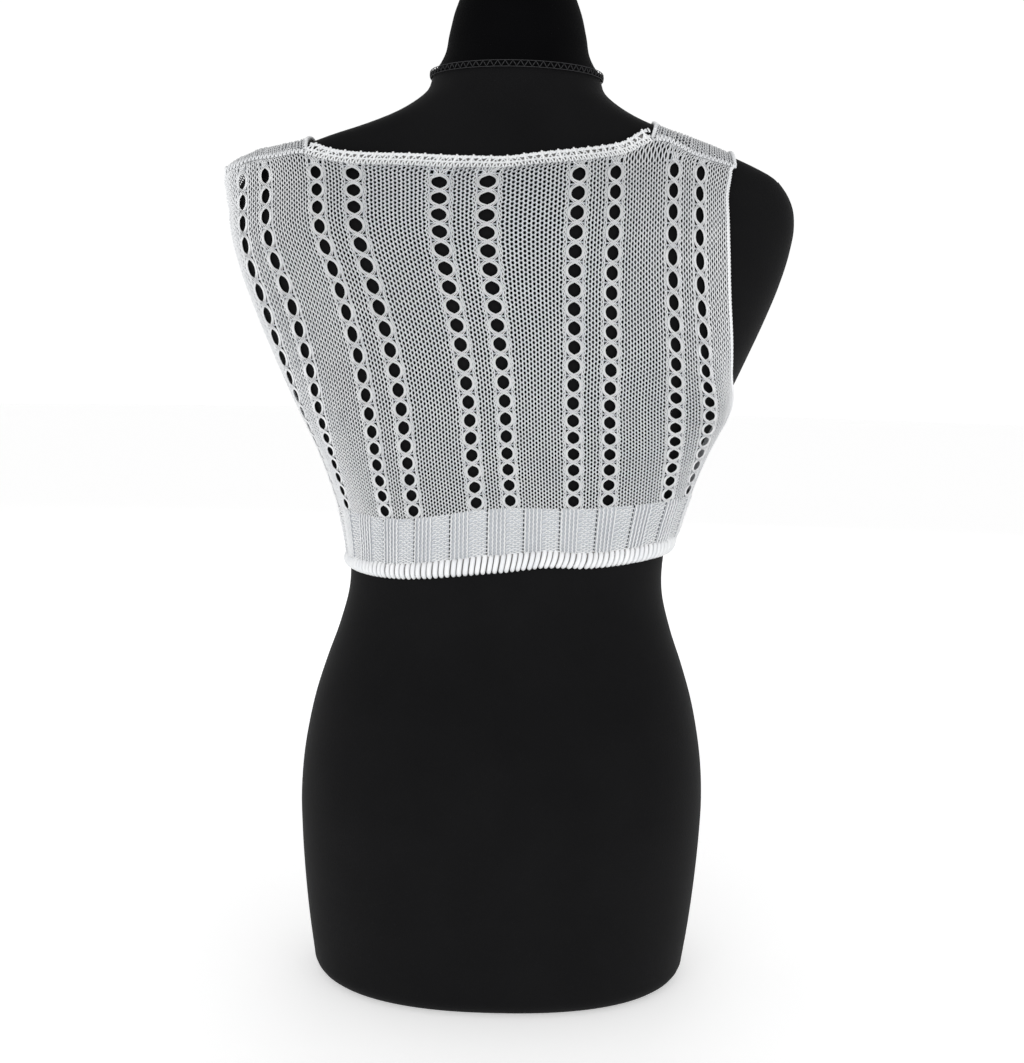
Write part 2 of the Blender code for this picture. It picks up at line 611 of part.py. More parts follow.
def neck_edge(name, grid, front, material):
    """The neck edging stands on the panel's top edge and points towards the neck."""
    lines, _ = chart_lines()
    first, last = (np.abs(lines - corner).argmin() for corner in (FRONT_CORNERS if front else NECK_CORNERS))
    edge = grid[-1, first : last + 1].copy()
    if front:
        row = np.abs(panel_lines(True) - FRONT_NECK_ROW).argmin()
        edge = np.concatenate([grid[:row:-1, first], grid[row, first : last + 1], grid[row + 1 :, last]])
    upward = np.cross(outward(edge), np.gradient(edge, axis=0))
    upward *= np.sign(upward[len(edge) // 2, 2])
    normal = outward(edge)
    for end, towards_neck in ((0, 1), (-1, -1)):
        upward[end] = np.array([towards_neck, 0, 0]) - normal[end] * normal[end, 0] * towards_neck
        edge[end, 1] += SEAM_GAP / 2 if front else -SEAM_GAP / 2
    upward /= np.linalg.norm(upward, axis=-1, keepdims=True)
    levels = [edge + upward * (NECK_GAP + NECK_HEIGHT * share) for share, _ in NECK_SECTION]
    offsets = [NECK_CLEARANCE + out * NECK_THICKNESS for _, out in NECK_SECTION]
    return strip(name, onto_surface(np.array(levels)), offsets, material)


# ---------------------------------------------------------------- the dress form
def form_torso(material):
    """The body of the form, from its flat base to the neck seam, one ring for each section."""
    build = bmesh.new()
    rings = []
    low = FORM_SECTIONS[0]
    for turn in np.radians([8, 35, 62]):
        z = BASE_ROUNDING * (1 - math.sin(turn))
        inset = BASE_ROUNDING * (1 - math.cos(turn))
        ring = section_ring(low[0] * MM, False, FORM_SIDES)[:-1]
        flat = outward(ring, False) * [1, 1, 0]
        rings.append((z if turn < 1 else 0.0, inset, ring, flat))
    rings = sorted(rings, key=lambda entry: entry[0])
    made = []
    for z, inset, ring, flat in rings:
        flat = flat / np.linalg.norm(flat, axis=-1, keepdims=True)
        spots = ring - flat * inset
        made.append([build.verts.new((x, y, z)) for x, y, _ in spots])
    grid = np.array([section_ring(height * MM, False, FORM_SIDES) for height in FORM_RINGS])
    hollow = strays(grid, False, True)
    hollow[:, 0] = np.maximum(hollow[:, 0], hollow[:, -1])
    grid = (grid - outward(grid, False) * hollow)[:, :-1]
    made += [[build.verts.new(point) for point in ring] for ring in grid]
    neck = grid[-1]
    made.append([build.verts.new((x, y, NECK_SEAM)) for x, y, _ in neck])
    for below, above in zip(made[:-1], made[1:]):
        for n in range(FORM_SIDES):
            m = (n + 1) % FORM_SIDES
            build.faces.new([below[n], below[m], above[m], above[n]])
    build.faces.new(made[0][::-1])
    build.faces.new(made[-1])
    return new_object("form_torso", build, material)


def form_neck_cap(material):
    """The domed cloth cap that closes the neck of the form."""
    build = bmesh.new()
    made = []
    turn = np.linspace(0, 2 * math.pi, CAP_SIDES, endpoint=False)
    for z, half, deep in CAP_SECTIONS:
        ring = zip(np.cos(turn) * half * MM, np.sin(turn) * deep * MM)
        made.append([build.verts.new((x, y, z * MM)) for x, y in ring])
    for below, above in zip(made[:-1], made[1:]):
        for n in range(CAP_SIDES):
            m = (n + 1) % CAP_SIDES
            build.faces.new([below[n], below[m], above[m], above[n]])
    build.faces.new(made[0][::-1])
    peak = build.verts.new((0, 0, (CAP_SECTIONS[-1][0] + 2) * MM))
    for n in range(CAP_SIDES):
        build.faces.new([made[-1][n], made[-1][(n + 1) % CAP_SIDES], peak])
    return new_object("form_neck_cap", build, material)


# ---------------------------------------------------------------- the whole
def plain_material(name, colour, roughness):
    material = bpy.data.materials.new(name)
    material.use_nodes = True
    shader = material.node_tree.nodes["Principled BSDF"]
    shader.inputs["Base Color"].default_value = (*colour, 1)
    shader.inputs["Roughness"].default_value = roughness
    shader.inputs["Metallic"].default_value = 0
    return material


def build_top(cotton):
    behind, ahead = Lie(front=False), Lie(front=True)
    back_lie, front_lie = with_half_a_row(BACK_LIE), with_half_a_row(FRONT_LIE)
    back, front = part_seams(panel_grid(behind, back_lie, False), panel_grid(ahead, front_lie, True))
    lace_panel("back_panel", back, behind, back_lie, False, (1, LACE_ROWS), cotton)
    lace_panel("front_panel", front, ahead, front_lie, True, FRONT_ROWS_CUT, cotton)

    tables = [waist_rows(BACK_LIE, BACK_WAIST), waist_rows(FRONT_LIE, FRONT_WAIST)]
    lines, rise = rib_lines()
    ribs = [waist_grid(lie, rows, lines, [1.01, 1.988]) for lie, rows in zip((behind, ahead), tables)]
    hems = [hem_grid(lie, rows) for lie, rows in zip((behind, ahead), tables)]
    share_side_seams(*ribs)
    share_side_seams(*hems)
    for side, ribbing, hem in zip(("back", "front"), ribs, hems):
        rib_band(side + "_rib_band", ribbing, rise, cotton)
        hem_edge(side + "_hem_edge", hem, cotton)

    neck_edge("back_neck_edge", back, False, cotton)
    neck_edge("front_neck_edge", front, True, cotton)


def main():
    for piece in list(bpy.data.objects):
        bpy.data.objects.remove(piece, do_unlink=True)
    jersey = plain_material(*JERSEY)
    cotton = plain_material(*COTTON)
    form_torso(jersey)
    form_neck_cap(jersey)
    build_top(cotton)


main()
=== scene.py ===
"""The looks of the knit crop top on its dress form: every yarn is laid on the cloth's surface.

Tables are in millimetres, everything else is in metres. A panel has its own coordinates:
`across` in widths of a plain wale and `lace_row` in rows of lace holes, four courses each.
"""

import math

import bmesh
import bpy
import numpy as np
from mathutils import Matrix, Vector


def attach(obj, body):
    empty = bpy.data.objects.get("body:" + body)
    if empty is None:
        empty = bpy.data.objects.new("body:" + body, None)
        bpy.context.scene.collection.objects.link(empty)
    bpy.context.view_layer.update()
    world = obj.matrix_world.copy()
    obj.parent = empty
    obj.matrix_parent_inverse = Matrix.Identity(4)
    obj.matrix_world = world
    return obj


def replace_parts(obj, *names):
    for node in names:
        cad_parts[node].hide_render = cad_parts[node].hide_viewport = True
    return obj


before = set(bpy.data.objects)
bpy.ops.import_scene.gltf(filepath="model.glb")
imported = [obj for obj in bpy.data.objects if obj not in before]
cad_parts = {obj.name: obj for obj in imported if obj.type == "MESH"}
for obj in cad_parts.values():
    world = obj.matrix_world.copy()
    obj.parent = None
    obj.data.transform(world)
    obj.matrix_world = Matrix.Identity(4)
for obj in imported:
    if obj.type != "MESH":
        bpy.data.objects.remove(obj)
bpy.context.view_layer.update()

MM = 0.001
UP = np.array([0, 0, 1.0])
rng = np.random.default_rng(7)

# ---- the surface, with the same tables as the solids ----
CLEARANCE, WALL = 1.0 * MM, 2.0 * MM
EDGE_WALES, HOLE_WALES, PAIR_WALES, GROUND_WALES, PAIRS = 5.5, 2.65, 3.0, 8.0, 5
REPEAT = 2 * HOLE_WALES + PAIR_WALES + GROUND_WALES
ACROSS = 2 * EDGE_WALES + PAIRS * REPEAT - GROUND_WALES
LACE_ROWS = 19
LAST_TABLE_ROW, TOP_LINE, FRONT_NECK_ROW = 19.5, 21.5, 19.9
NECK_CORNERS, FRONT_CORNERS = (21.8, 66.7), (17.8, 70.7)
RIB_REPEAT, RIB_START, RIB_SHARE = 6.2, 3.9, 0.54
HEM_LIFT, HEM_LIFT_PLACE, HEM_LIFT_WIDTH = 2.5 * MM, 28 * MM, 22 * MM
SPINE_SPREAD, SLACK_BLEND, YOKE_ARCH = 0.42, 25, 0.5
FULLER_EDGE, STRAP_SINK = 3.6 * MM, 1.1 * MM   # right armhole edge, and the straps of the front
ARMHOLE_FOOT = 7.5                             # the lace row where the armholes start
MEETING_REACH = 6.6                            # wales over which the front bends to its straps
FORM_SECTIONS = (
    (14, 143.0, 107.0, 92, 1.00, 2.30), (40, 146.5, 110.0, 95, 1.00, 2.30),
    (75, 150.0, 114.0, 98, 1.00, 2.30), (110, 152.3, 117.0, 100, 1.00, 2.30),
    (140, 153.0, 118.0, 100, 1.00, 2.30), (165, 151.3, 115.5, 100, 1.00, 2.30),
    (190, 147.5, 110.0, 98, 1.00, 2.30), (215, 142.0, 102.0, 95, 1.00, 2.30),
    (240, 134.3, 92.0, 91, 1.00, 2.30), (268, 124.5, 83.0, 88, 1.00, 2.30),
    (297, 117.5, 79.0, 86, 1.00, 2.30), (325, 118.0, 80.5, 89, 1.00, 2.30),
    (350, 122.7, 85.0, 95, 1.00, 2.30), (375, 130.5, 91.0, 102, 1.00, 2.30),
    (400, 140.0, 96.0, 109, 1.00, 2.35), (425, 152.0, 100.0, 116, 1.00, 2.40),
    (450, 164.0, 103.0, 121, 0.97, 2.40), (475, 175.3, 105.0, 123, 0.91, 2.40),
    (500, 186.0, 106.0, 121, 0.83, 2.40), (525, 195.5, 106.0, 115, 0.75, 2.40),
    (550, 202.5, 103.5, 105, 0.67, 2.45), (568, 205.0, 99.0, 96, 0.61, 2.50),
    (583, 203.0, 92.5, 87, 0.55, 2.50), (595, 196.5, 85.0, 79, 0.50, 2.50),
    (603, 189.0, 79.0, 74, 0.48, 2.45), (611, 173.5, 74.0, 69, 0.48, 2.40),
    (618, 157.0, 69.0, 65, 0.52, 2.30), (626, 137.0, 65.0, 62, 0.60, 2.20),
    (635, 110.0, 61.0, 60, 0.72, 2.10), (643, 89.5, 58.0, 58, 0.85, 2.05),
    (651, 75.0, 56.0, 56, 0.95, 2.00), (659, 65.0, 54.5, 55, 1.00, 2.00),
    (669, 61.0, 54.0, 55, 1.00, 2.00),
)
BASE_ROUNDING = 14 * MM
NECK_SEAM = 671 * MM
CAP_SECTIONS = (
    (671.3, 61.2, 55.0), (676, 57.5, 53.0), (684, 53.0, 50.0), (700, 49.5, 47.5),
    (718, 44.8, 43.5), (734, 37.0, 36.5), (745, 26.0, 26.0), (751, 13.0, 13.0),
)
SLACK = (
    (325, 0.0, 0.0), (345, 0.0, 5.5), (425, 0.0, 5.5), (462, 0.0, 0.0), (572, 0.0, 0.0),
    (585, 5.0, 0.0), (595, 12.5, 0.0), (602, 18.0, 0.0), (608, 20.0, 0.0), (614, 20.0, 0.0),
    (620, 8.0, 0.0), (630, 0.0, 0.0),
)
STATIONS = (0.0, 9.65, 25.95, 42.25, 58.55, 74.85, 84.5)
BACK_LIE = (
    (0.5, -172, -138, -76.5, -9.0, 58, 134.5, 184, 357, 358, 355.5, 366, 367, 371.5, 374),
    (4.0, -192, -149, -81.6, -12.8, 57.2, 136, 196, 388, 391, 394.8, 404.5, 405.4, 404.7, 404),
    (7.0, -208, -155, -86.0, -15.4, 55.8, 133.8, 198, 413, 419, 431.6, 440.5, 439.5, 432.8, 430),
    (10.0, -218, -160, -95.1, -20.3, 56, 129.2, 172, 447, 455, 471.2, 478.6, 476.6, 465.2, 458),
    (13.0, -229, -173.6, -111.4, -27.4, 55.8, 126.4, 161,
     490, 498.5, 514.8, 515.7, 515.3, 507.6, 501),
    (16.0, -235, -193.8, -129.3, -33.6, 57.2, 126.6, 159,
     540, 547.1, 557.8, 552, 554.5, 555.6, 551),
    (19.0, -229, -196.5, -135.4, -34.6, 60, 130.6, 160, 584, 591.8, 595, 585.4, 595.4, 601.6, 596),
)
FRONT_LIE = (
    (0.5, -178.8, -145, -76, -2, 74, 149, 192.2, 357, 358, 361, 364, 366, 370, 374),
    (4.0, -189.4, -152, -78, 2, 83, 162, 212.7, 388, 390, 394, 399, 401, 402, 404),
    (7.0, -202.7, -160, -82, 0, 84, 166, 240.4, 413, 416, 427, 434, 435, 432, 430),
    (10.0, -196, -158, -82, -4, 78, 150, 186, 447, 450, 461, 469, 470, 463, 456),
    (13.0, -196, -164, -90, -10, 72, 140, 170, 486, 491, 502, 505, 505, 501, 495),
    (16.0, -206, -176, -104, -18, 66, 132, 160, 532, 536, 540, 540, 541, 543, 541),
    (19.0, -220, -190, -122, -28, 62, 130, 160, 578, 580, 578, 575, 578, 586, 587),
)
LEFT_SHOULDER = (
    (0.0, -210, -12, 599), (5.5, -201, -18, 603), (9.65, -190, -21, 606.5),
    (16.0, -172, -26, 609), (21.8, -150, -30, 611.5),
)
RIGHT_SHOULDER = ((66.7, 98, -33, 625), (74.85, 129, -28.5, 616), (84.5, 158.5, -25, 608))
BACK_NECKLINE = (
    (25.95, -131, -37.5, 606.5), (34.1, -83, -57, 603), (42.25, -32, -80, 599),
    (46.4, -6, -85.5, 598.7), (50.4, 18, -81, 602), (58.55, 61, -58, 610), (62.7, 80, -44.5, 615.5),
)
FRONT_NECKLINE = (
    (17.8, -150, 18, 617), (21.8, -139, 31, 607.5), (24.45, -128, 38, 602),
    (27.45, -114, 45, 597.5), (30.1, -100, 51, 595), (34.1, -80, 58, 593),
    (42.25, -35, 71, 591), (50.4, 18, 75, 592),
    (57.05, 58, 63, 596), (60.05, 70, 56, 599), (62.7, 79, 49, 603), (66.7, 91, 38, 610),
    (70.7, 99, 24, 620),
)
BACK_WAIST = (
    (1.0, -168, -136, -77, -9, 57, 126, 173, 324, 323.5, 324.3, 334.3, 336, 342, 343),
    (0.0, -167, -135, -77, -9, 57, 125, 171, 317, 313.5, 311.8, 319.2, 323, 328, 329),
)
FRONT_WAIST = (
    (1.0, -160.4, -134, -73, -1, 72, 141, 174.8, 324, 324, 328, 332, 335, 340, 343),
    (0.0, -159.0, -133, -73, -2, 68, 131, 161.6, 317, 312, 314, 317, 320, 325, 329),
)


def through(rows, places):
    """A smooth curve through the rows: the first column is the place, the rest follow it."""
    knots = np.asarray(rows, float)
    at, value = knots[:, 0], knots[:, 1:]
    step = np.diff(at)
    slope = np.diff(value, axis=0) / step[:, None]
    bend = np.empty_like(value)
    bend[0], bend[-1] = slope[0], slope[-1]
    weight = (step[:-1] + step[1:])[:, None]
    bend[1:-1] = (slope[:-1] * step[1:, None] + slope[1:] * step[:-1, None]) / weight
    places = np.clip(np.asarray(places, float), at[0], at[-1])
    span = np.clip(np.searchsorted(at, places, side="right") - 1, 0, len(at) - 2)
    width = step[span][..., None]
    t = ((places - at[span]) / step[span])[..., None]
    start = (2 * t**3 - 3 * t**2 + 1) * value[span] + (t**3 - 2 * t**2 + t) * width * bend[span]
    end = (3 * t**2 - 2 * t**3) * value[span + 1] + (t**3 - t**2) * width * bend[span + 1]
    return start + end


def slack(x, z):
    """How far the cloth stands off the form at the sides."""
    rows = np.asarray(SLACK)
    left = np.interp(z, rows[:, 0] * MM, rows[:, 1]) * MM
    right = np.interp(z, rows[:, 0] * MM, rows[:, 2]) * MM
    share = 1 / (1 + np.exp(-x / (SLACK_BLEND * MM)))
    return right * share + left * (1 - share)


def level(points, worn):
    """1 on the surface of the form, or of the cloth where `worn`, and more outside it."""
    x, y, z = points[..., 0], points[..., 1], points[..., 2]
    section = through(FORM_SECTIONS, z / MM)
    half, behind, ahead = (section[..., n] * MM for n in range(3))
    wing, roundness = section[..., 3], section[..., 4]
    if worn:
        half = half + slack(x, z)
    depth = np.where(y < 0, behind, ahead)
    depth = depth * (wing + (1 - wing) * np.exp(-((x / (SPINE_SPREAD * half)) ** 2)))
    return (np.abs(x) / half) ** roundness + (np.abs(y) / depth) ** roundness


def steepest(points, worn, reach=0.05 * MM):
    parts = []
    for axis in np.eye(3) * reach:
        parts.append((level(points + axis, worn) - level(points - axis, worn)) / (2 * reach))
    return np.stack(parts, -1)


def onto_surface(points, worn=True, rounds=12, longest=8 * MM):
    points = np.array(points, float)
    for _ in range(rounds):
        uphill = steepest(points, worn)
        excess = (level(points, worn) - 1)[..., None]
        move = excess * uphill / np.maximum((uphill**2).sum(-1, keepdims=True), 1e-12)
        length = np.linalg.norm(move, axis=-1, keepdims=True)
        points = points - move * np.minimum(1, longest / np.maximum(length, 1e-12))
    return points


def outward(points, worn=True):
    uphill = steepest(points, worn)
    return uphill / np.linalg.norm(uphill, axis=-1, keepdims=True)


def section_ring(z, worn, sides):
    """The section at one height as points that run from the back to +X, the front and -X."""
    turn = np.linspace(0, 2 * math.pi, sides + 1)
    half, behind, ahead = through(FORM_SECTIONS, np.array([z / MM]))[0][:3] * MM
    deep = np.where(np.cos(turn) > 0, behind, ahead)
    ray = np.stack([np.sin(turn) * half, -np.cos(turn) * deep, np.zeros_like(turn)], -1)
    near, far = np.zeros_like(turn), np.full_like(turn, 2.0)
    for _ in range(34):
        middle = (near + far) / 2
        outside = level(ray * middle[:, None] + [0, 0, z], worn) > 1
        near, far = np.where(outside, near, middle), np.where(outside, middle, far)
    return ray * near[:, None] + [0, 0, z]


class Lie:
    """The cloth's surface as a table: the point a given way round from the centre of the back
    or of the front, at a given height."""

    LOWEST, HIGHEST, LEVELS, PLACES = 0.300, 0.612, 79, 121
    REACH = 1.45                  # how far past the sides the table goes, in quarters

    def __init__(self, front):
        self.heights = np.linspace(self.LOWEST, self.HIGHEST, self.LEVELS)
        self.share = np.linspace(-1, 1, self.PLACES)
        self.plan, self.quarters = [], []
        sides = 720
        for z in self.heights:
            ring = section_ring(z, True, sides)[:-1]
            if front:
                ring = np.roll(ring[::-1], sides // 2 + 1, axis=0)
            middle = np.roll(ring, sides // 2, axis=0)
            way = np.concatenate([[0], np.cumsum(np.linalg.norm(np.diff(middle, axis=0), axis=1))])
            way -= way[sides // 2]
            left, right = -way[sides // 4], way[3 * sides // 4]
            self.quarters.append((left, right))
            reach = np.where(self.share < 0, left, right) * self.share * self.REACH
            self.plan.append([np.interp(reach, way, middle[:, axis]) for axis in (0, 1)])
        self.plan, self.quarters = np.array(self.plan), np.array(self.quarters)

    def quarter(self, z, right):
        return np.interp(z, self.heights, self.quarters[:, int(right)])

    def point(self, way, z):
        quarter = np.where(way < 0, self.quarter(z, False), self.quarter(z, True))
        column = (way / (quarter * self.REACH) + 1) / 2 * (self.PLACES - 1)
        column = np.clip(column, 0, self.PLACES - 1.001)
        row = (z - self.LOWEST) / (self.HIGHEST - self.LOWEST) * (self.LEVELS - 1)
        row = np.clip(row, 0, self.LEVELS - 1.001)
        c, r = column.astype(int), row.astype(int)
        s, t = column - c, row - r
        spots = []
        for axis in (0, 1):
            grid = self.plan[:, axis]
            low = grid[r, c] * (1 - s) + grid[r, c + 1] * s
            high = grid[r + 1, c] * (1 - s) + grid[r + 1, c + 1] * s
            spots.append(low * (1 - t) + high * t)
        return np.stack([*spots, z], -1)


def with_half_a_row(rows):
    """The table with half a lace row more at its top."""
    last, before = np.array(rows[-1]), np.array(rows[-2])
    step = 2 * (last[0] - before[0])
    return (*rows, tuple(last + (last - before) / step))


def lie_grid(rows, across, places):
    """The way round and the height for each place (down) and each `across` (along)."""
    found = through(rows, places)
    result = np.empty((len(places), len(across), 2))
    for n, line in enumerate(found):
        knots = np.stack([STATIONS, line[: len(STATIONS)], line[len(STATIONS) :]], -1)
        result[n] = through(knots, across) * MM
    return result


def top_point(across, front, middle):
    """The top edge of a panel: shoulders and neckline of the back, the front's neckline, or the
    straps of the front, which are as long as the back's shoulders."""
    if not front:
        return through(LEFT_SHOULDER + BACK_NECKLINE + RIGHT_SHOULDER, across) * MM
    if middle:
        return through(FRONT_NECKLINE, across) * MM
    left, right = np.array(LEFT_SHOULDER), np.array(RIGHT_SHOULDER)
    left[:, 0] *= FRONT_CORNERS[0] / NECK_CORNERS[0]
    narrower = (ACROSS - FRONT_CORNERS[1]) / (ACROSS - NECK_CORNERS[1])
    right[:, 0] = ACROSS - (ACROSS - right[:, 0]) * narrower
    left_half = (across < ACROSS / 2)[..., None]
    return np.where(left_half, through(left, across), through(right, across)) * MM


class Patch:
    """A stretch of knitting as a fine grid of points and normals on the cloth's surface. It
    turns `across` and a course number into a point."""

    def __init__(self, across, places, points):
        self.across, self.places = across, places
        self.points = onto_surface(points)
        self.normals = outward(self.points)

    def at(self, across, course, out=0.0):
        """Points `out` metres off the surface. `course` counts rows of the grid."""
        column = np.interp(across, self.across, np.arange(len(self.across)))
        column = np.clip(column, 0, len(self.across) - 1.0001)
        row = np.clip(course, 0, len(self.places) - 1.0001)
        c, r = column.astype(int), row.astype(int)
        s, t = (column - c)[..., None], (row - r)[..., None]
        found = []
        for grid in (self.points, self.normals):
            low = grid[r, c] * (1 - s) + grid[r, c + 1] * s
            high = grid[r + 1, c] * (1 - s) + grid[r + 1, c + 1] * s
            found.append(low * (1 - t) + high * t)
        out = np.broadcast_to(out, found[0].shape[:-1])
        return found[0] + found[1] * out[..., None], found[1]


def panel_patch(lie, rows, front, low, high, courses_over):
    """The patch of a panel between two `across` values, four courses to a lace row and then
    `courses_over` courses up to its top edge."""
    across = np.linspace(low, high, int(round((high - low) * 2)) + 1)
    middle = front and low > 1 and high < ACROSS - 1
    last = FRONT_NECK_ROW if middle else TOP_LINE
    lace = np.arange(0.5, LAST_TABLE_ROW + 0.01, 0.25)
    over = np.linspace(LAST_TABLE_ROW, last, courses_over + 1)[1:]
    places = np.concatenate([lace, over])
    found = lie_grid(rows, across, np.minimum(places, LAST_TABLE_ROW))
    if not front:
        fuller = smooth_step((places - 18) / 1.6)[:, None] * smooth_step((across - 75) / 9.5)[None]
        found[..., 0] += FULLER_EDGE * fuller
    start = lie.point(found[..., 0], found[..., 1])
    share = np.clip((places - LAST_TABLE_ROW) / (last - LAST_TABLE_ROW), 0, 1)[:, None, None]
    end = np.broadcast_to(top_point(across, front, middle), start.shape)
    arch = (start + end) / 2
    arch[..., 2] += np.linalg.norm(end - start, axis=-1) * (0 if middle else YOKE_ARCH)
    points = start * (1 - share) ** 2 + arch * 2 * share * (1 - share) + end * share**2
    patch = Patch(across, places, points)
    if front and not middle:
        patch.points -= patch.normals * share * STRAP_SINK
    return patch


def meet(patch, strap, across):
    """Draw a patch to the edge that it shares with a strap's patch."""
    rows = np.interp(patch.places, strap.places, np.arange(len(strap.places)))
    edge, _ = strap.at(np.full(rows.shape, across), rows)
    column = np.abs(patch.across - across).argmin()
    weight = 1 - smooth_step(np.abs(patch.across - across) / MEETING_REACH)
    shift = (edge - patch.points[:, column])[:, None]
    patch.points = onto_surface(patch.points + shift * weight[None, :, None])
    patch.normals = outward(patch.points)


def waist_patch(lie, lie_rows, waist, places):
    """The waist: place 0 is the hem's lower edge, 1 the foot of the ribs and 2 their top."""
    across = np.linspace(0, ACROSS, 170)
    table = (waist[1], waist[0], (2.0, *lie_rows[0][1:]))
    found = lie_grid(table, across, places)
    lift = np.exp(-(((found[..., 0] - HEM_LIFT_PLACE) / HEM_LIFT_WIDTH) ** 2)) * HEM_LIFT
    fade = np.clip(2 - places, 0, 1)[:, None]
    return Patch(across, places, lie.point(found[..., 0], found[..., 1] + lift * fade))


# ------------------------------------------------------------------ yarns
THREE_SIDED = (0.84, 0.78)    # how much slimmer and flatter a yarn of three sides is


class Yarns:
    """Collects tubes of yarn and turns them into one mesh."""

    def __init__(self):
        self.verts, self.faces, self.shade, self.count = [], [], [], 0

    def add(self, points, normals, wide, deep, sides=3, tone=0.0):
        """Tubes along the second axis of `points` (tubes, rings, 3). `wide` and `deep` are the
        half sizes of the yarn across the cloth and out of it."""
        points, normals = np.asarray(points), np.asarray(normals)
        if points.ndim == 2:
            points, normals = points[None], normals[None]
        tubes, rings = points.shape[:2]
        along = np.gradient(points, axis=1)
        along /= np.maximum(np.linalg.norm(along, axis=-1, keepdims=True), 1e-9)
        side = np.cross(along, normals)
        side /= np.maximum(np.linalg.norm(side, axis=-1, keepdims=True), 1e-9)
        up = np.cross(side, along)
        wide = np.broadcast_to(wide, (tubes, rings))[..., None]
        deep = np.broadcast_to(deep, (tubes, rings))[..., None]
        first = math.pi / sides if sides % 2 == 0 else math.pi / 2
        turn = np.linspace(0, 2 * math.pi, sides, endpoint=False) + first
        if sides == 3:
            wide, deep = wide * THREE_SIDED[0], deep * THREE_SIDED[1]
        loops = [points + side * wide * math.cos(a) + up * deep * math.sin(a) for a in turn]
        verts = np.stack(loops, 2).reshape(-1, 3)
        ring = np.arange(tubes)[:, None] * rings + np.arange(rings - 1)[None]
        here = (ring[..., None] * sides + np.arange(sides)).reshape(-1)
        there = (ring[..., None] * sides + np.roll(np.arange(sides), -1)).reshape(-1)
        faces = np.stack([here, there, there + sides, here + sides], -1) + self.count
        tones = np.broadcast_to(np.asarray(tone, float), (tubes, rings))
        self.verts.append(verts)
        self.faces.append(faces)
        self.shade.append(np.repeat(tones.reshape(-1), sides))
        self.count += len(verts)

    def piece(self, name, material, slot="white_cotton"):
        verts, faces = np.concatenate(self.verts), np.concatenate(self.faces)
        mesh = mesh_of(name, verts, faces)
        mesh.shade_smooth()
        tone = mesh.attributes.new("tone", "FLOAT", "POINT")
        tone.data.foreach_set("value", np.concatenate(self.shade).astype(np.float32))
        return place(name, mesh, material)


def mesh_of(name, verts, faces):
    mesh = bpy.data.meshes.new(name)
    mesh.vertices.add(len(verts))
    mesh.vertices.foreach_set("co", np.asarray(verts, np.float32).reshape(-1))
    corners = faces.shape[1]
    mesh.loops.add(faces.size)
    mesh.loops.foreach_set("vertex_index", faces.astype(np.int32).reshape(-1))
    mesh.polygons.add(len(faces))
    mesh.polygons.foreach_set("loop_start", np.arange(0, faces.size, corners, dtype=np.int32))
    mesh.update(calc_edges=True)
    mesh.validate()
    return mesh


def grid_faces(index):
    """The quads of a grid of vertex numbers."""
    corners = index[:-1, :-1], index[:-1, 1:], index[1:, 1:], index[1:, :-1]
    return np.stack(corners, -1).reshape(-1, 4)


def ring_faces(outer, inner):
    """The quads between two closed rings, each a list of equal arrays of vertex numbers."""
    pairs = zip(outer, outer[1:] + outer[:1], inner[1:] + inner[:1], inner)
    return [np.stack(corners, -1).reshape(-1, 4) for corners in pairs]


def place(name, mesh, material):
    piece = bpy.data.objects.new(name, mesh)
    bpy.context.scene.collection.objects.link(piece)
    mesh.materials.append(material)
    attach(piece, "root")
    return piece


# ------------------------------------------------------------------ materials
def new_material(name):
    material = bpy.data.materials.new(name)
    material.use_nodes = True
    tree = material.node_tree
    return material, tree, tree.nodes["Principled BSDF"]


def put(node, **values):
    """Set a node's sockets: an underscore in a name stands for a space."""
    for name, value in values.items():
        node.inputs[name.replace("_", " ")].default_value = value


def noise(tree, where, scale, detail):
    texture = tree.nodes.new("ShaderNodeTexNoise")
    put(texture, Scale=scale, Detail=detail)
    tree.links.new(where.outputs["Object"], texture.inputs["Vector"])
    return texture


def blend_colours(tree, shader, one, other):
    """A mix of two colours as the shader's base colour."""
    mix = tree.nodes.new("ShaderNodeMix")
    mix.data_type = "RGBA"
    put(mix, A=(*one, 1), B=(*other, 1))
    tree.links.new(mix.outputs["Result"], shader.inputs["Base Color"])
    return mix


def relief(tree, shader, height, strength, distance):
    bump = tree.nodes.new("ShaderNodeBump")
    put(bump, Strength=strength, Distance=distance)
    tree.links.new(height, bump.inputs["Height"])
    tree.links.new(bump.outputs["Normal"], shader.inputs["Normal"])


def cotton_material(name, bright, shade):
    """White cotton-like yarn: fine twisted plies, slightly uneven in tone, and darker where a
    yarn's tone attribute is higher, which on the leg lines is painted shade where they dip.
    """
    material, tree, shader = new_material(name)
    node, link = tree.nodes.new, tree.links.new
    where = node("ShaderNodeTexCoord")
    patchy = noise(tree, where, 55, 3)
    mix = blend_colours(tree, shader, shade, bright)
    tone = node("ShaderNodeAttribute")
    tone.attribute_name = "tone"
    amount = node("ShaderNodeMath")
    amount.operation = "MULTIPLY_ADD"
    amount.use_clamp = True
    link(patchy.outputs["Fac"], amount.inputs[0])
    amount.inputs[1].default_value = 0.5
    sub = node("ShaderNodeMath")
    sub.operation = "SUBTRACT"
    sub.inputs[0].default_value = 0.62
    link(tone.outputs["Fac"], sub.inputs[1])
    link(sub.outputs[0], amount.inputs[2])
    link(amount.outputs[0], mix.inputs["Factor"])
    relief(tree, shader, noise(tree, where, 2600, 2).outputs["Fac"], 0.35, 0.0004)
    put(shader, Roughness=0.82, Specular_IOR_Level=0.25, Sheen_Weight=0.12)
    return material


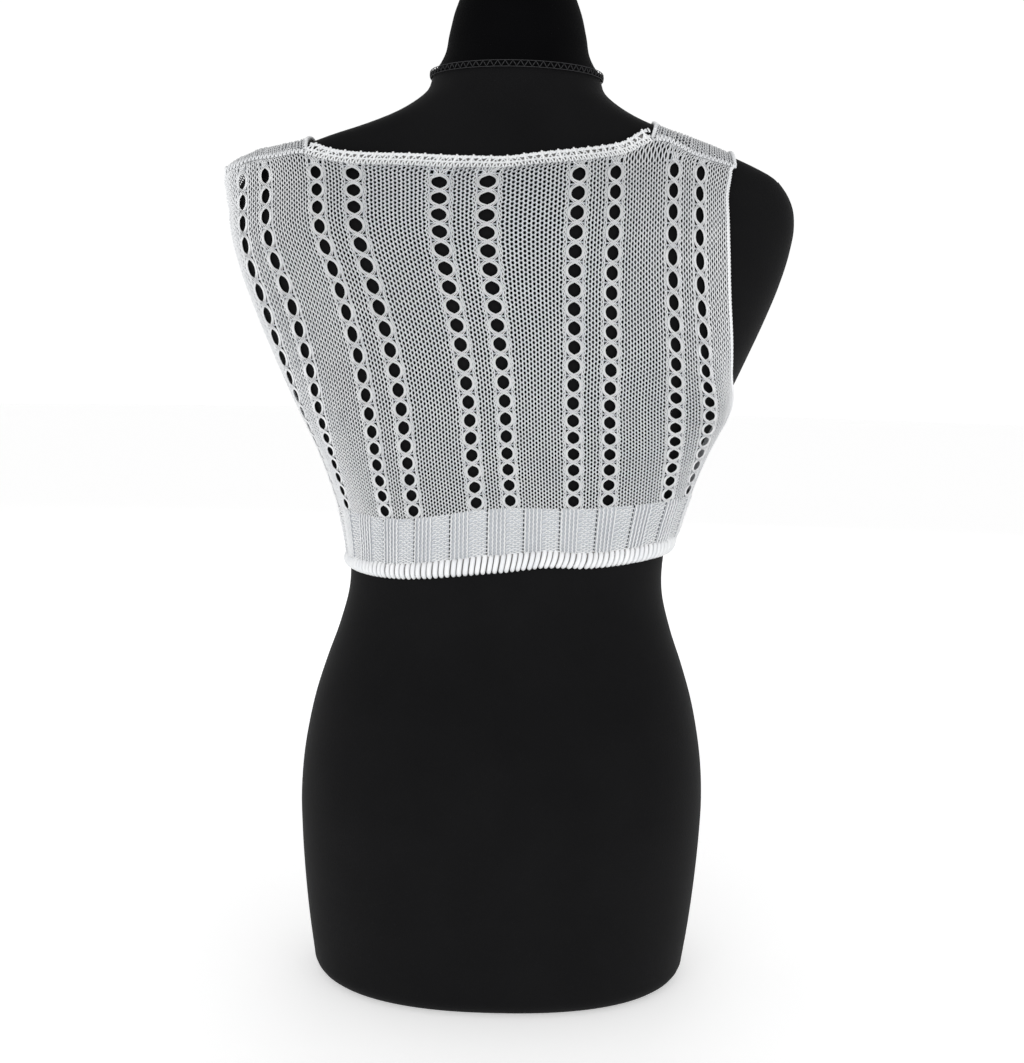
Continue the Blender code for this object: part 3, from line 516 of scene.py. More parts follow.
def jersey_material(name, dark, light, gloss, sheen):
    """Jersey: fine knit loops of under a millimetre, with a faint sheen."""
    material, tree, shader = new_material(name)
    node, link = tree.nodes.new, tree.links.new
    where = node("ShaderNodeTexCoord")
    mix = blend_colours(tree, shader, dark, light)
    link(noise(tree, where, 26, 5).outputs["Fac"], mix.inputs["Factor"])
    squash = node("ShaderNodeMapping")
    put(squash, Scale=(1, 1, 0.45))
    link(where.outputs["Object"], squash.inputs["Vector"])
    loops = node("ShaderNodeTexVoronoi")
    put(loops, Scale=1300)
    link(squash.outputs["Vector"], loops.inputs["Vector"])
    relief(tree, shader, loops.outputs["Distance"], 0.4, 0.0003)
    put(shader, Roughness=0.78, Specular_IOR_Level=gloss, Sheen_Weight=sheen)
    return material


def plain_material(name, colour, roughness):
    """One colour with a very faint grain."""
    material, tree, shader = new_material(name)
    grain = tree.nodes.new("ShaderNodeTexNoise")
    put(grain, Scale=4)
    mix = blend_colours(tree, shader, colour, [part * 0.985 for part in colour])
    tree.links.new(grain.outputs["Fac"], mix.inputs["Factor"])
    put(shader, Roughness=roughness)
    return material


COTTON = cotton_material("white_cotton_yarn", (0.87, 0.875, 0.88), (0.62, 0.65, 0.69))
# painted shade: the ground is the same white cotton, painted grey for the shade under the yarns
SHADED_GROUND = cotton_material("white_cotton_ground_painted_shade", (0.56, 0.58, 0.61), (0.40, 0.42, 0.46))
# painted shade: dark cotton for the strips that stand for the shade behind the hem and the neck
# edging
SHADED = cotton_material("white_cotton_shaded", (0.30, 0.29, 0.28), (0.17, 0.165, 0.16))
THREAD = plain_material("grey_sewing_thread", (0.016, 0.016, 0.018), 0.7)
JERSEY = jersey_material(
    "charcoal_jersey_look", (0.0024, 0.0024, 0.0028), (0.0050, 0.0050, 0.0055), 0.09, 0.012
)
CAP_CLOTH = jersey_material(
    "cap_cloth_look", (0.0008, 0.0008, 0.0010), (0.0020, 0.0020, 0.0024), 0.03, 0.004
)


# ------------------------------------------------------------------ the lace chart
def chart():
    """Where the yarn lines of a course run across the panel, in wales. Returns the places of
    the plain leg lines with their kind, and the centres of the hole columns."""
    legs, centres, at = [], [], 0.0

    def plain(wales):
        nonlocal at
        count = int(round(wales * 2))
        legs.extend(at + (np.arange(count) + 0.5) * wales / count)
        at += wales

    def hole():
        nonlocal at
        centres.append(at + HOLE_WALES / 2)
        at += HOLE_WALES

    plain(EDGE_WALES)
    for pair in range(PAIRS):
        hole()
        plain(PAIR_WALES)
        hole()
        plain(GROUND_WALES if pair < PAIRS - 1 else EDGE_WALES)
    return np.array(legs), np.array(centres)


LEGS, CENTRES = chart()
RINGS = 2                # rings of a leg line in a course
LACE_RINGS = 3           # rings of a lace yarn in a course
ARM_REACH = 1.12         # wales from a hole's middle to the yarn that bulges round it


def pulled(across, course):
    """Lines near a hole column bend away round each hole and back between the holes."""
    row = 0.5 + course / 4
    inside = row < LACE_ROWS + 0.5
    bulge = 0.5 + 0.5 * np.cos(2 * math.pi * row)
    moved = np.array(across, float)
    for centre in CENTRES:
        away = across - centre
        beyond = np.abs(away) - HOLE_WALES / 2
        pull = 0.16 * np.exp(-((beyond / 0.9) ** 2)) * (bulge - 0.4) * inside
        moved = moved + np.sign(away) * pull
    return moved


def leg_lines(yarns, patch, legs, wide, deep):
    """Leg lines of plain knitting: neighbours wave in mirror image, and touch and part."""
    courses = len(patch.places) - 1
    steps = np.arange(courses * RINGS + 1) / RINGS
    parity = np.arange(len(legs)) % 2 * 2 - 1
    side = parity[:, None] * np.cos(2 * math.pi * steps[None])
    jitter = rng.normal(0, 0.012, (len(legs), len(steps)))
    across = legs[:, None] + 0.112 * side + jitter
    course = np.broadcast_to(steps, across.shape)
    across = pulled(across, course)
    rise = np.cos(2 * math.pi * steps[None] - 0.9)
    points, normals = patch.at(across, course, CLEARANCE + WALL * 0.55 + 0.28 * MM * rise)
    # painted shade: a leg line is darker where it dips towards the form and lighter where it rises;
    # the random part is the yarn's own tone
    tone = 0.10 - 0.10 * rise + rng.normal(0, 0.03, (len(legs), 1))
    yarns.add(points, normals, wide, deep, tone=tone)


def smooth_step(x):
    x = np.clip(x, 0, 1)
    return x * x * (3 - 2 * x)


def lace_lines(yarns, patch, centres):
    """The two yarns at each hole column, three strands each: they cross between the holes and
    bulge round them, inside a straighter yarn on each side. Above the holes six yarns fan out."""
    courses = LACE_ROWS * 4
    steps = np.arange(courses * LACE_RINGS + 1) / LACE_RINGS
    row = 0.5 + steps / 4
    swing = np.cos(math.pi * row)                     # changes side at each crossing
    away = 0.5 - np.abs(row - np.round(row))          # from the crossing, in rows
    bulge = np.sqrt(np.maximum(0, 1 - ((0.5 - away) / 0.446) ** 2))
    shape = np.sign(swing) * np.where(away < 0.2, away * 3.7, bulge)
    for direction in (-1, 1):
        across = centres[:, None] + direction * ARM_REACH * shape[None]
        course = np.broadcast_to(steps, across.shape)
        weave = direction * np.sin(math.pi * row)
        out = CLEARANCE + WALL * 0.62 + 0.55 * MM * weave[None] * (1 - np.abs(shape))[None]
        for strand in (-1, 0, 1):
            beside = strand * direction * (0.46 - 0.34 * np.abs(shape[None]))
            points, normals = patch.at(across + beside, course, out)
            yarns.add(points, normals, 0.48 * MM, 0.5 * MM, tone=0.05 * strand)
    border = HOLE_WALES / 2 + 0.02
    top = len(patch.places) - 1
    steps = np.arange(top * LACE_RINGS + 1) / LACE_RINGS
    for direction in (-1, 1):
        wave = 0.05 * np.cos(2 * math.pi * steps + direction)
        bulge = 0.10 * np.cos(2 * math.pi * (0.5 + steps / 4)) * (steps < courses)
        across = centres[:, None] + direction * (border + bulge)[None] + wave[None]
        course = np.broadcast_to(steps, across.shape)
        points, normals = patch.at(across, course, CLEARANCE + WALL * 0.42)
        yarns.add(points, normals, 0.62 * MM, 0.6 * MM, tone=0.02)
    if top > courses:
        steps = courses + np.arange((top - courses) * LACE_RINGS + 1) / LACE_RINGS
        for n, offset in enumerate(np.linspace(-1.0, 1.0, 6)):
            close = 0.36 + 0.64 * smooth_step((steps - courses) / 1.6)
            across = centres[:, None] + (offset * close)[None]
            side = (n % 2 * 2 - 1) * 0.1 * np.cos(2 * math.pi * steps + 0.6)
            course = np.broadcast_to(steps, across.shape)
            points, normals = patch.at(across + side[None], course, CLEARANCE + WALL * 0.5)
            yarns.add(points, normals, 0.66 * MM, 0.6 * MM, tone=0.04)


# ------------------------------------------------------------------ the ground net
CELL = ((0, 0), (1, 0), (1, 1), (0, 1))
THREAD_SHARE, THREAD_RISE = 0.19, 0.17    # the ground left round an opening, across and along
HOLE_CELL = (            # the cell and the opening of a lace hole, in half widths and rows
    (-1, 0, -0.84, 0.04), (-0.5, 0, -0.5, 0.04), (0, 0, 0, 0.11), (0.5, 0, 0.5, 0.04),
    (1, 0, 0.84, 0.04), (1, 0.5, 0.84, 0.5), (1, 1, 0.84, 0.96), (0.5, 1, 0.5, 0.96),
    (0, 1, 0, 0.89), (-0.5, 1, -0.5, 0.96), (-1, 1, -0.84, 0.96), (-1, 0.5, -0.84, 0.5),
)
OVER_CELL = ((0.2, 0.15), (0.8, 0.15), (0.8, 0.85), (0.2, 0.85))


def net(name, patch, legs, centres, low, high):
    """The thin ground of a patch: a net with an opening in every stitch and lace hole."""
    verts, quads = [], []
    count = 0
    courses = len(patch.places) - 1
    lace_courses = min(courses, LACE_ROWS * 4)

    def add(across, course):
        nonlocal count
        points, _ = patch.at(across, course, CLEARANCE + WALL * 0.22)
        shape = points.shape[:-1]
        verts.append(points.reshape(-1, 3))
        index = np.arange(int(np.prod(shape))).reshape(shape) + count
        count += index.size
        return index

    lines = sorted([*legs, *(c + s * HOLE_WALES / 2 for c in centres for s in (-1, 1))])
    lines = np.array([low, *lines, high])
    # plain cells between neighbouring leg lines, parted where the lines part
    hole_cell = np.zeros(len(lines) - 1, bool)
    for c in centres:
        hole_cell |= np.abs((lines[:-1] + lines[1:]) / 2 - c) < 0.1
    index_of = {leg: n for n, leg in enumerate(legs)}
    plain = np.nonzero(~hole_cell)[0]
    steps = np.arange(courses)
    left, right = lines[plain][:, None], lines[plain + 1][:, None]
    first = np.array([index_of.get(lines[n], index_of.get(lines[n + 1], 0) + 1) for n in plain])
    shift = np.where(first % 2 == 0, 0.5, 0.0)[:, None] + 0.5
    base = steps[None] + shift - 0.5
    outer, inner = [], []
    for x, up in CELL:
        course = np.clip(base + up, 0, courses)
        across = np.broadcast_to(right if x else left, course.shape)
        outer.append(add(pulled(across, course), course))
    for x, up in CELL:
        share = 1 - THREAD_SHARE if x else THREAD_SHARE
        course = np.clip(base + (1 - THREAD_RISE if up else THREAD_RISE), 0, courses)
        across = np.broadcast_to(left + (right - left) * share, course.shape)
        inner.append(add(pulled(across, course), course))
    quads += ring_faces(outer, inner)
    if len(centres):
        # lace cells: a strip of ground round an opening of twelve corners
        rows = np.arange(LACE_ROWS)
        centre = np.asarray(centres)[:, None]
        rings = []
        for spot in (0, 2):
            ring = []
            for corner in HOLE_CELL:
                course = (rows[None] + corner[spot + 1]) * 4 + 0 * centre
                ring.append(add(centre + corner[spot] * HOLE_WALES / 2 + 0 * course, course))
            rings.append(ring)
        quads += ring_faces(*rings)
        if courses > lace_courses:
            over = np.arange(courses - lace_courses)[None, :, None]
            starts = np.linspace(-1, 1, 5)[None, None, :-1] * HOLE_WALES / 2
            rings = []
            for corners in (CELL, OVER_CELL):
                ring = []
                for x, y in corners:
                    course = lace_courses + over + y + 0 * centre[..., None] + 0 * starts
                    across = centre[..., None] + starts + x * HOLE_WALES / 4 + 0 * course
                    ring.append(add(across, course))
                rings.append(ring)
            quads += ring_faces(*rings)
    mesh = mesh_of(name, np.concatenate(verts), np.concatenate(quads))
    mesh.shade_smooth()
    return mesh


# ------------------------------------------------------------------ panels
def build_panel(side, parts):
    """One panel: `parts` are its patches with the stretch of `across` that each one covers."""
    lines = [Yarns(), Yarns()]
    lace = Yarns()
    nets = []
    for n, (patch, low, high) in enumerate(parts):
        legs = LEGS[(LEGS > low) & (LEGS < high)]
        centres = CENTRES[(CENTRES > low) & (CENTRES < high)]
        half = LEGS[len(LEGS) // 2]
        for yarns, chosen in zip(lines, (legs[legs < half], legs[legs >= half])):
            if len(chosen):
                leg_lines(yarns, patch, chosen, 0.80 * MM, 0.70 * MM)
        if len(centres):
            lace_lines(lace, patch, centres)
        nets.append(net(f"{side}_ground_{n}", patch, legs, centres, low, high))
    ground = join_meshes(f"{side}_panel_ground", nets)
    # the ground's grey cotton is painted shade
    ground = place(f"{side}_panel_ground", ground, SHADED_GROUND)
    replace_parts(ground, f"{side}_panel")
    pieces = [
        lines[0].piece(f"{side}_panel_wales_left", COTTON),
        lines[1].piece(f"{side}_panel_wales_right", COTTON),
        lace.piece(f"{side}_panel_lace", COTTON),
    ]
    return ground, pieces


def join_meshes(name, meshes):
    verts, faces, count = [], [], 0
    for mesh in meshes:
        co = np.empty(len(mesh.vertices) * 3, np.float32)
        mesh.vertices.foreach_get("co", co)
        index = np.empty(len(mesh.loops), np.int32)
        mesh.loops.foreach_get("vertex_index", index)
        verts.append(co.reshape(-1, 3))
        faces.append(index.reshape(-1, 4) + count)
        count += len(mesh.vertices)
        bpy.data.meshes.remove(mesh)
    joined = mesh_of(name, np.concatenate(verts), np.concatenate(faces))
    joined.shade_smooth()
    return joined


# ------------------------------------------------------------------ the waist
BAND_COURSES = 11
RIB_FOOT = 0.89          # where the ribs start between the hem's lower edge (0) and its top (1)
RIB_LINES = 5            # yarns in a rib and columns of bumps in a block


def band(side, patch):
    """Knit ribs that stand up between blocks of purl bumps, over a thin ground."""
    knit, purl = Yarns(), Yarns()
    ribs = RIB_START + RIB_REPEAT * np.arange(-1, int(ACROSS / RIB_REPEAT) + 1)
    steps = np.linspace(0.0, BAND_COURSES, BAND_COURSES * RINGS + 1)
    knit_lines, bump_lines = [], []
    spots = (np.arange(RIB_LINES) + 0.5) / RIB_LINES
    rib, block = RIB_SHARE * RIB_REPEAT, (1 - RIB_SHARE) * RIB_REPEAT
    for start in ribs:
        knit_lines.extend(start + spots * rib)
        bump_lines.extend(start + rib + 0.1 + spots * (block - 0.1))
    knit_lines = np.array([u for u in knit_lines if 0.1 < u < ACROSS - 0.1])
    bump_lines = np.array([u for u in bump_lines if 0.3 < u < ACROSS - 0.3])
    parity = np.arange(len(knit_lines)) % 2 * 2 - 1
    sway = parity[:, None] * 0.07 * np.cos(2 * math.pi * steps[None])
    across = knit_lines[:, None] + sway + rng.normal(0, 0.012, (len(knit_lines), len(steps)))
    rise = 0.9 * MM * np.minimum(1, smooth_step((BAND_COURSES - steps) / 0.8))
    out = CLEARANCE + WALL * 0.55 + rise + 0.2 * MM * np.cos(2 * math.pi * steps)
    points, normals = patch.at(across, np.broadcast_to(steps, across.shape), out[None])
    tone = 0.02 + rng.normal(0, 0.03, (len(knit_lines), 1))
    knit.add(points, normals, 0.86 * MM, 0.72 * MM, tone=tone)
    # purl bumps: short arcs across the wale, each second column half a course higher
    arc = np.linspace(-1, 1, 5)
    rows = np.arange(BAND_COURSES)
    start = np.repeat(bump_lines, len(rows))
    column = np.repeat(np.arange(len(bump_lines)), len(rows))
    lift = np.tile(rows, len(bump_lines)) + 0.5 * (column % 2)
    lift = lift + rng.normal(0, 0.05, len(lift)) + 0.25
    keep = lift < BAND_COURSES - 0.2
    start, lift = start[keep], lift[keep]
    across = start[:, None] + arc[None] * 0.42
    course = lift[:, None] + (0.34 * (1 - arc**2))[None] - 0.12
    out = CLEARANCE + WALL * 0.42 + (0.75 * MM * (1 - arc**2))[None]
    points, normals = patch.at(across, course, out)
    purl.add(points, normals, 0.68 * MM, 0.6 * MM, tone=0.0)
    # the ground, painted grey as shade, with a slit along the left of each rib that widens to a dot
    # at its ends
    courses = np.linspace(-0.1, BAND_COURSES + 0.1, 24)
    edges = [0.0]
    for start in ribs:
        if 0.4 < start < ACROSS - 0.4:
            edges += [start - 0.02, start + 0.06]
    edges.append(ACROSS)
    verts, faces, count = [], [], 0
    foot = 0.16 * np.exp(-((courses - 0.35) / 0.5) ** 2)
    head = 0.05 * np.exp(-((courses - BAND_COURSES) / 0.5) ** 2)
    widen = foot + 0.06 + head
    for left, right in zip(edges[0::2], edges[1::2]):
        columns = np.linspace(0, 1, 7)
        low = left + (widen if left > 0 else 0 * widen)
        high = right - (widen if right < ACROSS else 0 * widen)
        across = low[:, None] * (1 - columns)[None] + high[:, None] * columns[None]
        course = np.broadcast_to(courses[:, None], across.shape)
        points, _ = patch.at(across, course, CLEARANCE + 0.35 * WALL)
        verts.append(points.reshape(-1, 3))
        index = np.arange(across.size).reshape(across.shape) + count
        count += across.size
        faces.append(grid_faces(index))
    ground = mesh_of(f"{side}_rib_ground", np.concatenate(verts), np.concatenate(faces))
    ground.shade_smooth()
    ground = place(f"{side}_rib_ground", ground, SHADED_GROUND)
    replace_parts(ground, f"{side}_rib_band")
    ribs = knit.piece(f"{side}_knit_ribs", COTTON)
    return [ground, ribs, purl.piece(f"{side}_purl_blocks", COTTON)]


HEM_PATH = (          # place between the lower edge (0) and the ribs (1), and how far out, in mm
    (0.86, 1.9), (0.80, 3.2), (0.65, 4.1), (0.46, 4.5), (0.28, 4.3), (0.13, 3.4), (0.06, 2.2),
    (0.11, 1.3),
)
HEM_SHADE_STRIP = ((0.96, 1.3), (0.60, 2.0), (0.28, 2.0), (0.10, 1.4))
HEM_PITCH = 1.0       # wales from one strand to the next
HEM_SLANT = 0.9       # wales that a strand leans over, where it leans the most


def row_of(patch, height):
    return np.interp(height, patch.places, np.arange(len(patch.places)))


def shade_strip(name, patch, along, rows):
    """A strip behind an edge, painted dark as the shade between its yarns. `rows` gives its places
    on the patch and how far out, in mm.
    """
    verts = []
    for spot, out in rows:
        verts.append(patch.at(along, np.full(along.shape, row_of(patch, spot)), out * MM)[0])
    index = np.arange(len(along) * len(rows)).reshape(len(rows), -1)
    return place(name, mesh_of(name, np.concatenate(verts), grid_faces(index)), SHADED)


def hem(side, patch):
    """The thick rolled edge: upright strands side by side over a strip painted dark as shade."""
    yarns = Yarns()
    count = int(ACROSS / HEM_PITCH)
    middle = (np.arange(count) + 0.5) * ACROSS / count
    path = np.array(HEM_PATH)
    slant = HEM_SLANT * (path[:, 0] - 0.5)[None] * np.clip((middle - 30) / 22, -0.4, 1)[:, None]
    across = middle[:, None] + slant + rng.normal(0, 0.04, (count, 1))
    course = row_of(patch, path[:, 0]) + rng.normal(0, 0.06, (count, 1))
    out = path[:, 1] * MM - 1.3 * MM + rng.normal(0, 0.06, (count, 1)) * MM
    points, normals = patch.at(across, course, out + CLEARANCE * 0.6)
    spread = np.linalg.norm(np.gradient(points, axis=0), axis=-1)
    wide = np.clip(spread * 0.41, 1.3 * MM, 2.2 * MM)
    tone = 0.06 + rng.normal(0, 0.06, (count, 1))
    yarns.add(points, normals, wide, 1.75 * MM, sides=8, tone=tone)
    piece = yarns.piece(f"{side}_hem_strands", COTTON)
    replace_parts(piece, f"{side}_hem_edge")
    # a strip painted dark as the shade between the hem's strands
    across = np.linspace(0, ACROSS, 120)
    return [piece, shade_strip(f"{side}_hem_backing", patch, across, HEM_SHADE_STRIP)]


# ------------------------------------------------------------------ edges
TAPER_START, TAPER_LENGTH, TAPER_SINK = 12, 42, 2.0 * MM


def edge_patch(path, heights, towards, taper=0.0):
    """A narrow patch along an edge. `path` is its points, `heights` are in mm away from the
    cloth, and `towards` is the side that the heights grow to."""
    path = onto_surface(path)
    way = np.concatenate([[0], np.cumsum(np.linalg.norm(np.diff(path, axis=0), axis=1))])
    even = np.linspace(0, way[-1], int(way[-1] / (2 * MM)) + 1)
    path = np.stack([np.interp(even, way, path[:, axis]) for axis in range(3)], -1)
    upward = np.cross(outward(path), np.gradient(path, axis=0))
    upward /= np.linalg.norm(upward, axis=-1, keepdims=True)
    if (upward * towards).sum(-1).mean() < 0:
        upward = -upward
    for _ in range(6):
        upward[1:-1] = (upward[:-2] + upward[1:-1] * 2 + upward[2:]) / 4
    upward /= np.linalg.norm(upward, axis=-1, keepdims=True)
    end = np.minimum(even, even[-1] - even) / MM
    full = 1 - taper * (1 - smooth_step((end - TAPER_START) / TAPER_LENGTH))[:, None]
    rows = np.stack([path + upward * h * MM * full for h in heights])
    patch = Patch(even / MM, np.array(heights), rows)
    patch.points -= patch.normals * (1 - full)[None] * TAPER_SINK
    return patch


def rope(yarns, patch, margin, height, out, pitch, size, radius, tone):
    """Two strands twisted round each other along the edge, from `margin` mm to as far from its
    end."""
    along = np.arange(margin, patch.across[-1] - margin, pitch / 8)
    for start in (0, 0.5):
        turn = 2 * math.pi * (along / pitch + start)
        tall = height + np.sin(turn) * radius
        off = (out + np.cos(turn) * radius * 0.7) * MM
        points, normals = patch.at(along, row_of(patch, tall), off)
        yarns.add(points, normals, size * MM, size * MM * 0.9, sides=6, tone=tone)


def strokes(yarns, patch, at, low, high, lean, out, size, bow=0.5, tone=0.0, sides=5):
    """Short strokes of yarn up the edging, which lean by `lean` mm."""
    share = np.linspace(0, 1, 6)
    along = at[:, None] + (share - 0.5)[None] * lean
    tall = np.broadcast_to(low + (high - low) * share, along.shape)
    off = np.broadcast_to((out + bow * np.sin(math.pi * share)) * MM, along.shape)
    points, normals = patch.at(along, row_of(patch, tall), off)
    yarns.add(points, normals, size * MM, size * MM * 0.85, sides=sides, tone=tone)


def neckline(side, path, towards, taper=0.0):
    """The crochet-like edging: a row of V strokes, crossed strokes, a braid and posts."""
    patch = edge_patch(path, [-3, -1, 0, 1.5, 3, 4.5, 6, 7.5, 9, 10.5], towards, taper)
    length = patch.across[-1]
    yarns = Yarns()
    at = np.arange(1.6, length - 1, 4.3)
    strokes(yarns, patch, at - 0.9, -1.4, 3.0, 1.5, 2.3, 0.66, tone=0.0)
    strokes(yarns, patch, at + 0.9, -1.4, 3.0, -1.5, 2.3, 0.66, tone=0.02)
    at = np.arange(1.5, length - 1, 5.6)
    strokes(yarns, patch, at, 2.6, 7.2, 3.4, 2.5, 0.62, tone=0.10)
    strokes(yarns, patch, at + 1.5, 2.4, 7.4, -3.0, 2.1, 0.6, tone=0.16)
    rope(yarns, patch, 0.5, 7.2, 2.6, 6.4, 0.74, 0.62, 0.10)
    rope(yarns, patch, 0.5, 2.8, 2.5, 4.3, 0.46, 0.42, 0.04)
    at = np.arange(4.0, length - 2, 12.7)
    strokes(yarns, patch, at, 1.4, 8.9, 0.5, 2.9, 0.8, tone=-0.08, sides=6)
    strokes(yarns, patch, at + 6.3, 5.0, 8.3, 1.2, 2.8, 0.68, tone=0.0, sides=6)
    piece = yarns.piece(f"{side}_neck_edging", COTTON)
    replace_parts(piece, f"{side}_neck_edge")
    # a strip painted dark as the shade behind the edging's strokes
    along = np.linspace(5, length - 5, int(length / 2))
    rows = ((-0.8, 1.3), (2.5, 1.3), (5.5, 1.3), (7.6, 1.3))
    return [piece, shade_strip(f"{side}_neck_backing", patch, along, rows)]


def selvedge(name, *patches):
    """The chain selvedge of two armholes: the left one's patch and the right one's."""
    yarns = Yarns()
    for right, patch in enumerate(patches):
        path = side_column(patch, right, ARMHOLE_FOOT, TOP_LINE)
        edge = edge_patch(path, [-4, -2, -1, 0, 1, 2], np.array([1.0 if right else -1.0, 0, 0]))
        rope(yarns, edge, 0.2, -0.6, 2.5, 5.2, 0.85, 0.55, 0.08)
    return yarns.piece(name, COTTON)


def seam(name, paths, wide, out, pitch):
    """A sewn seam: small bars across the gap between two edges."""
    yarns = Yarns()
    for path in paths:
        patch = edge_patch(path, [-4, -2, -1, 0, 1, 2, 4], UP)
        at = np.arange(0.8, patch.across[-1] - 0.6, pitch)
        strokes(yarns, patch, at, -wide, wide, 0.9, out, 0.6, bow=0.45, tone=0.15)
        at, wide_back = at + pitch / 2, wide * 0.9
        strokes(yarns, patch, at, -wide_back, wide_back, -0.9, out - 0.2, 0.55, bow=0.4, tone=0.2)
    return yarns.piece(name, COTTON)


# ------------------------------------------------------------------ the dress form
def loft(name, rings, material):
    """A closed skin over rings of points, from the lowest ring up."""
    index = np.arange(len(rings) * len(rings[0])).reshape(len(rings), -1)
    right = np.roll(index, -1, axis=1)
    faces = np.stack([index[:-1], right[:-1], right[1:], index[1:]], -1).reshape(-1, 4)
    mesh = mesh_of(name, np.concatenate(rings), faces)
    tool = bmesh.new()
    tool.from_mesh(mesh)
    tool.verts.ensure_lookup_table()
    tool.faces.new([tool.verts[i] for i in index[0][::-1]])
    tool.faces.new([tool.verts[i] for i in index[-1]])
    bmesh.ops.recalc_face_normals(tool, faces=tool.faces)
    tool.to_mesh(mesh)
    tool.free()
    mesh.shade_smooth()
    return place(name, mesh, material)


BODY_SIDES, CAP_SIDES, CAP_RINGS = 144, 96, 34
ZIGZAGS = 74             # points of the serged seam's zigzag, round the neck


def dress_form():
    rings = []
    foot = section_ring(FORM_SECTIONS[0][0] * MM, False, BODY_SIDES)[:-1]
    flat = outward(foot, False) * [1, 1, 0]
    flat /= np.linalg.norm(flat, axis=-1, keepdims=True)
    for turn in np.radians([88, 75, 60, 45, 30, 15]):
        ring = foot - flat * BASE_ROUNDING * (1 - math.cos(turn))
        ring[:, 2] = BASE_ROUNDING * (1 - math.sin(turn))
        rings.append(ring)
    rings[0][:, 2] = 0.0
    heights = np.concatenate([np.arange(14, 590, 7.0), np.arange(590, 668, 3.0), [669.0]])
    rings += [section_ring(z * MM, False, BODY_SIDES)[:-1] for z in heights]
    top = rings[-1].copy()
    top[:, 2] = NECK_SEAM
    rings.append(top * [0.985, 0.985, 1])
    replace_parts(loft("form_body_cover", rings, JERSEY), "form_torso")

    turn = np.linspace(0, 2 * math.pi, CAP_SIDES, endpoint=False)
    heights = np.linspace(CAP_SECTIONS[0][0], CAP_SECTIONS[-1][0], CAP_RINGS)
    rings = []
    for z, (half, deep) in zip(heights, through(CAP_SECTIONS, heights)):
        ripple = 1 + 0.006 * np.sin(turn * 5 + 1.3) * (z < 745)
        x, y = np.cos(turn) * half * ripple, np.sin(turn) * deep * ripple
        rings.append(np.stack([x, y, np.full(CAP_SIDES, z)], -1) * MM)
    for share, z in ((0.75, 752.0), (0.4, 752.8), (0.08, 753.0)):
        rings.append(rings[CAP_RINGS - 1] * [share, share, 0] + [0, 0, z * MM])
    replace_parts(loft("form_cap_cover", rings, CAP_CLOTH), "form_neck_cap")

    # the serged seam round the neck
    yarns = Yarns()
    fine = np.linspace(0, 2 * math.pi, ZIGZAGS * 4 + 1)
    half, deep = 61.6 * MM, 54.8 * MM
    spots = np.stack([np.cos(fine) * half, np.sin(fine) * deep, np.full(fine.shape, NECK_SEAM)], -1)
    away = np.stack([np.cos(fine) / half, np.sin(fine) / deep, 0 * fine], -1)
    away /= np.linalg.norm(away, axis=-1, keepdims=True)
    yarns.add(spots + away * 0.3 * MM, away, 1.3 * MM, 1.0 * MM, sides=8)
    yarns.piece("form_neck_welt", CAP_CLOTH, "charcoal_jersey")
    yarns = Yarns()
    wave = np.abs((fine * ZIGZAGS / (2 * math.pi)) % 1 * 2 - 1) * 2 - 1
    zig = spots + away * (1.35 - 0.25 * wave**2)[:, None] * MM + UP * (wave * 2.0)[:, None] * MM
    yarns.add(zig, away, 0.32 * MM, 0.28 * MM, sides=5)
    for height in (2.1, -2.1):
        ring = spots + away * 1.0 * MM + UP * height * MM
        yarns.add(ring, away, 0.26 * MM, 0.24 * MM, sides=5)
    yarns.piece("form_neck_stitches", THREAD, "charcoal_jersey")
    # the side seams of the cover
    yarns = Yarns()
    heights = np.linspace(16, 600, 150)
    half, behind = through(FORM_SECTIONS, heights)[:, :2].T
    for side in (-1, 1):
        line = np.stack([side * half * 0.999, -behind * 0.08, heights], -1) * MM
        line = onto_surface(line, worn=False)
        normal = outward(line, False)
        yarns.add(line - normal * 0.15 * MM, normal, 0.9 * MM, 0.55 * MM, sides=8)
    yarns.piece("form_side_seams", JERSEY, "charcoal_jersey")


# ------------------------------------------------------------------ the whole
def top_row(patch, low, high):
    """The top edge of a patch between two `across` values."""
    keep = (patch.across >= low - 1e-6) & (patch.across <= high + 1e-6)
    return patch.points[-1][keep]


def side_column(patch, right, first, last):
    """A side edge of a patch between two lace rows."""
    rows = (patch.places >= first - 1e-6) & (patch.places <= last + 1e-6)
    return patch.points[rows, -1 if right else 0]


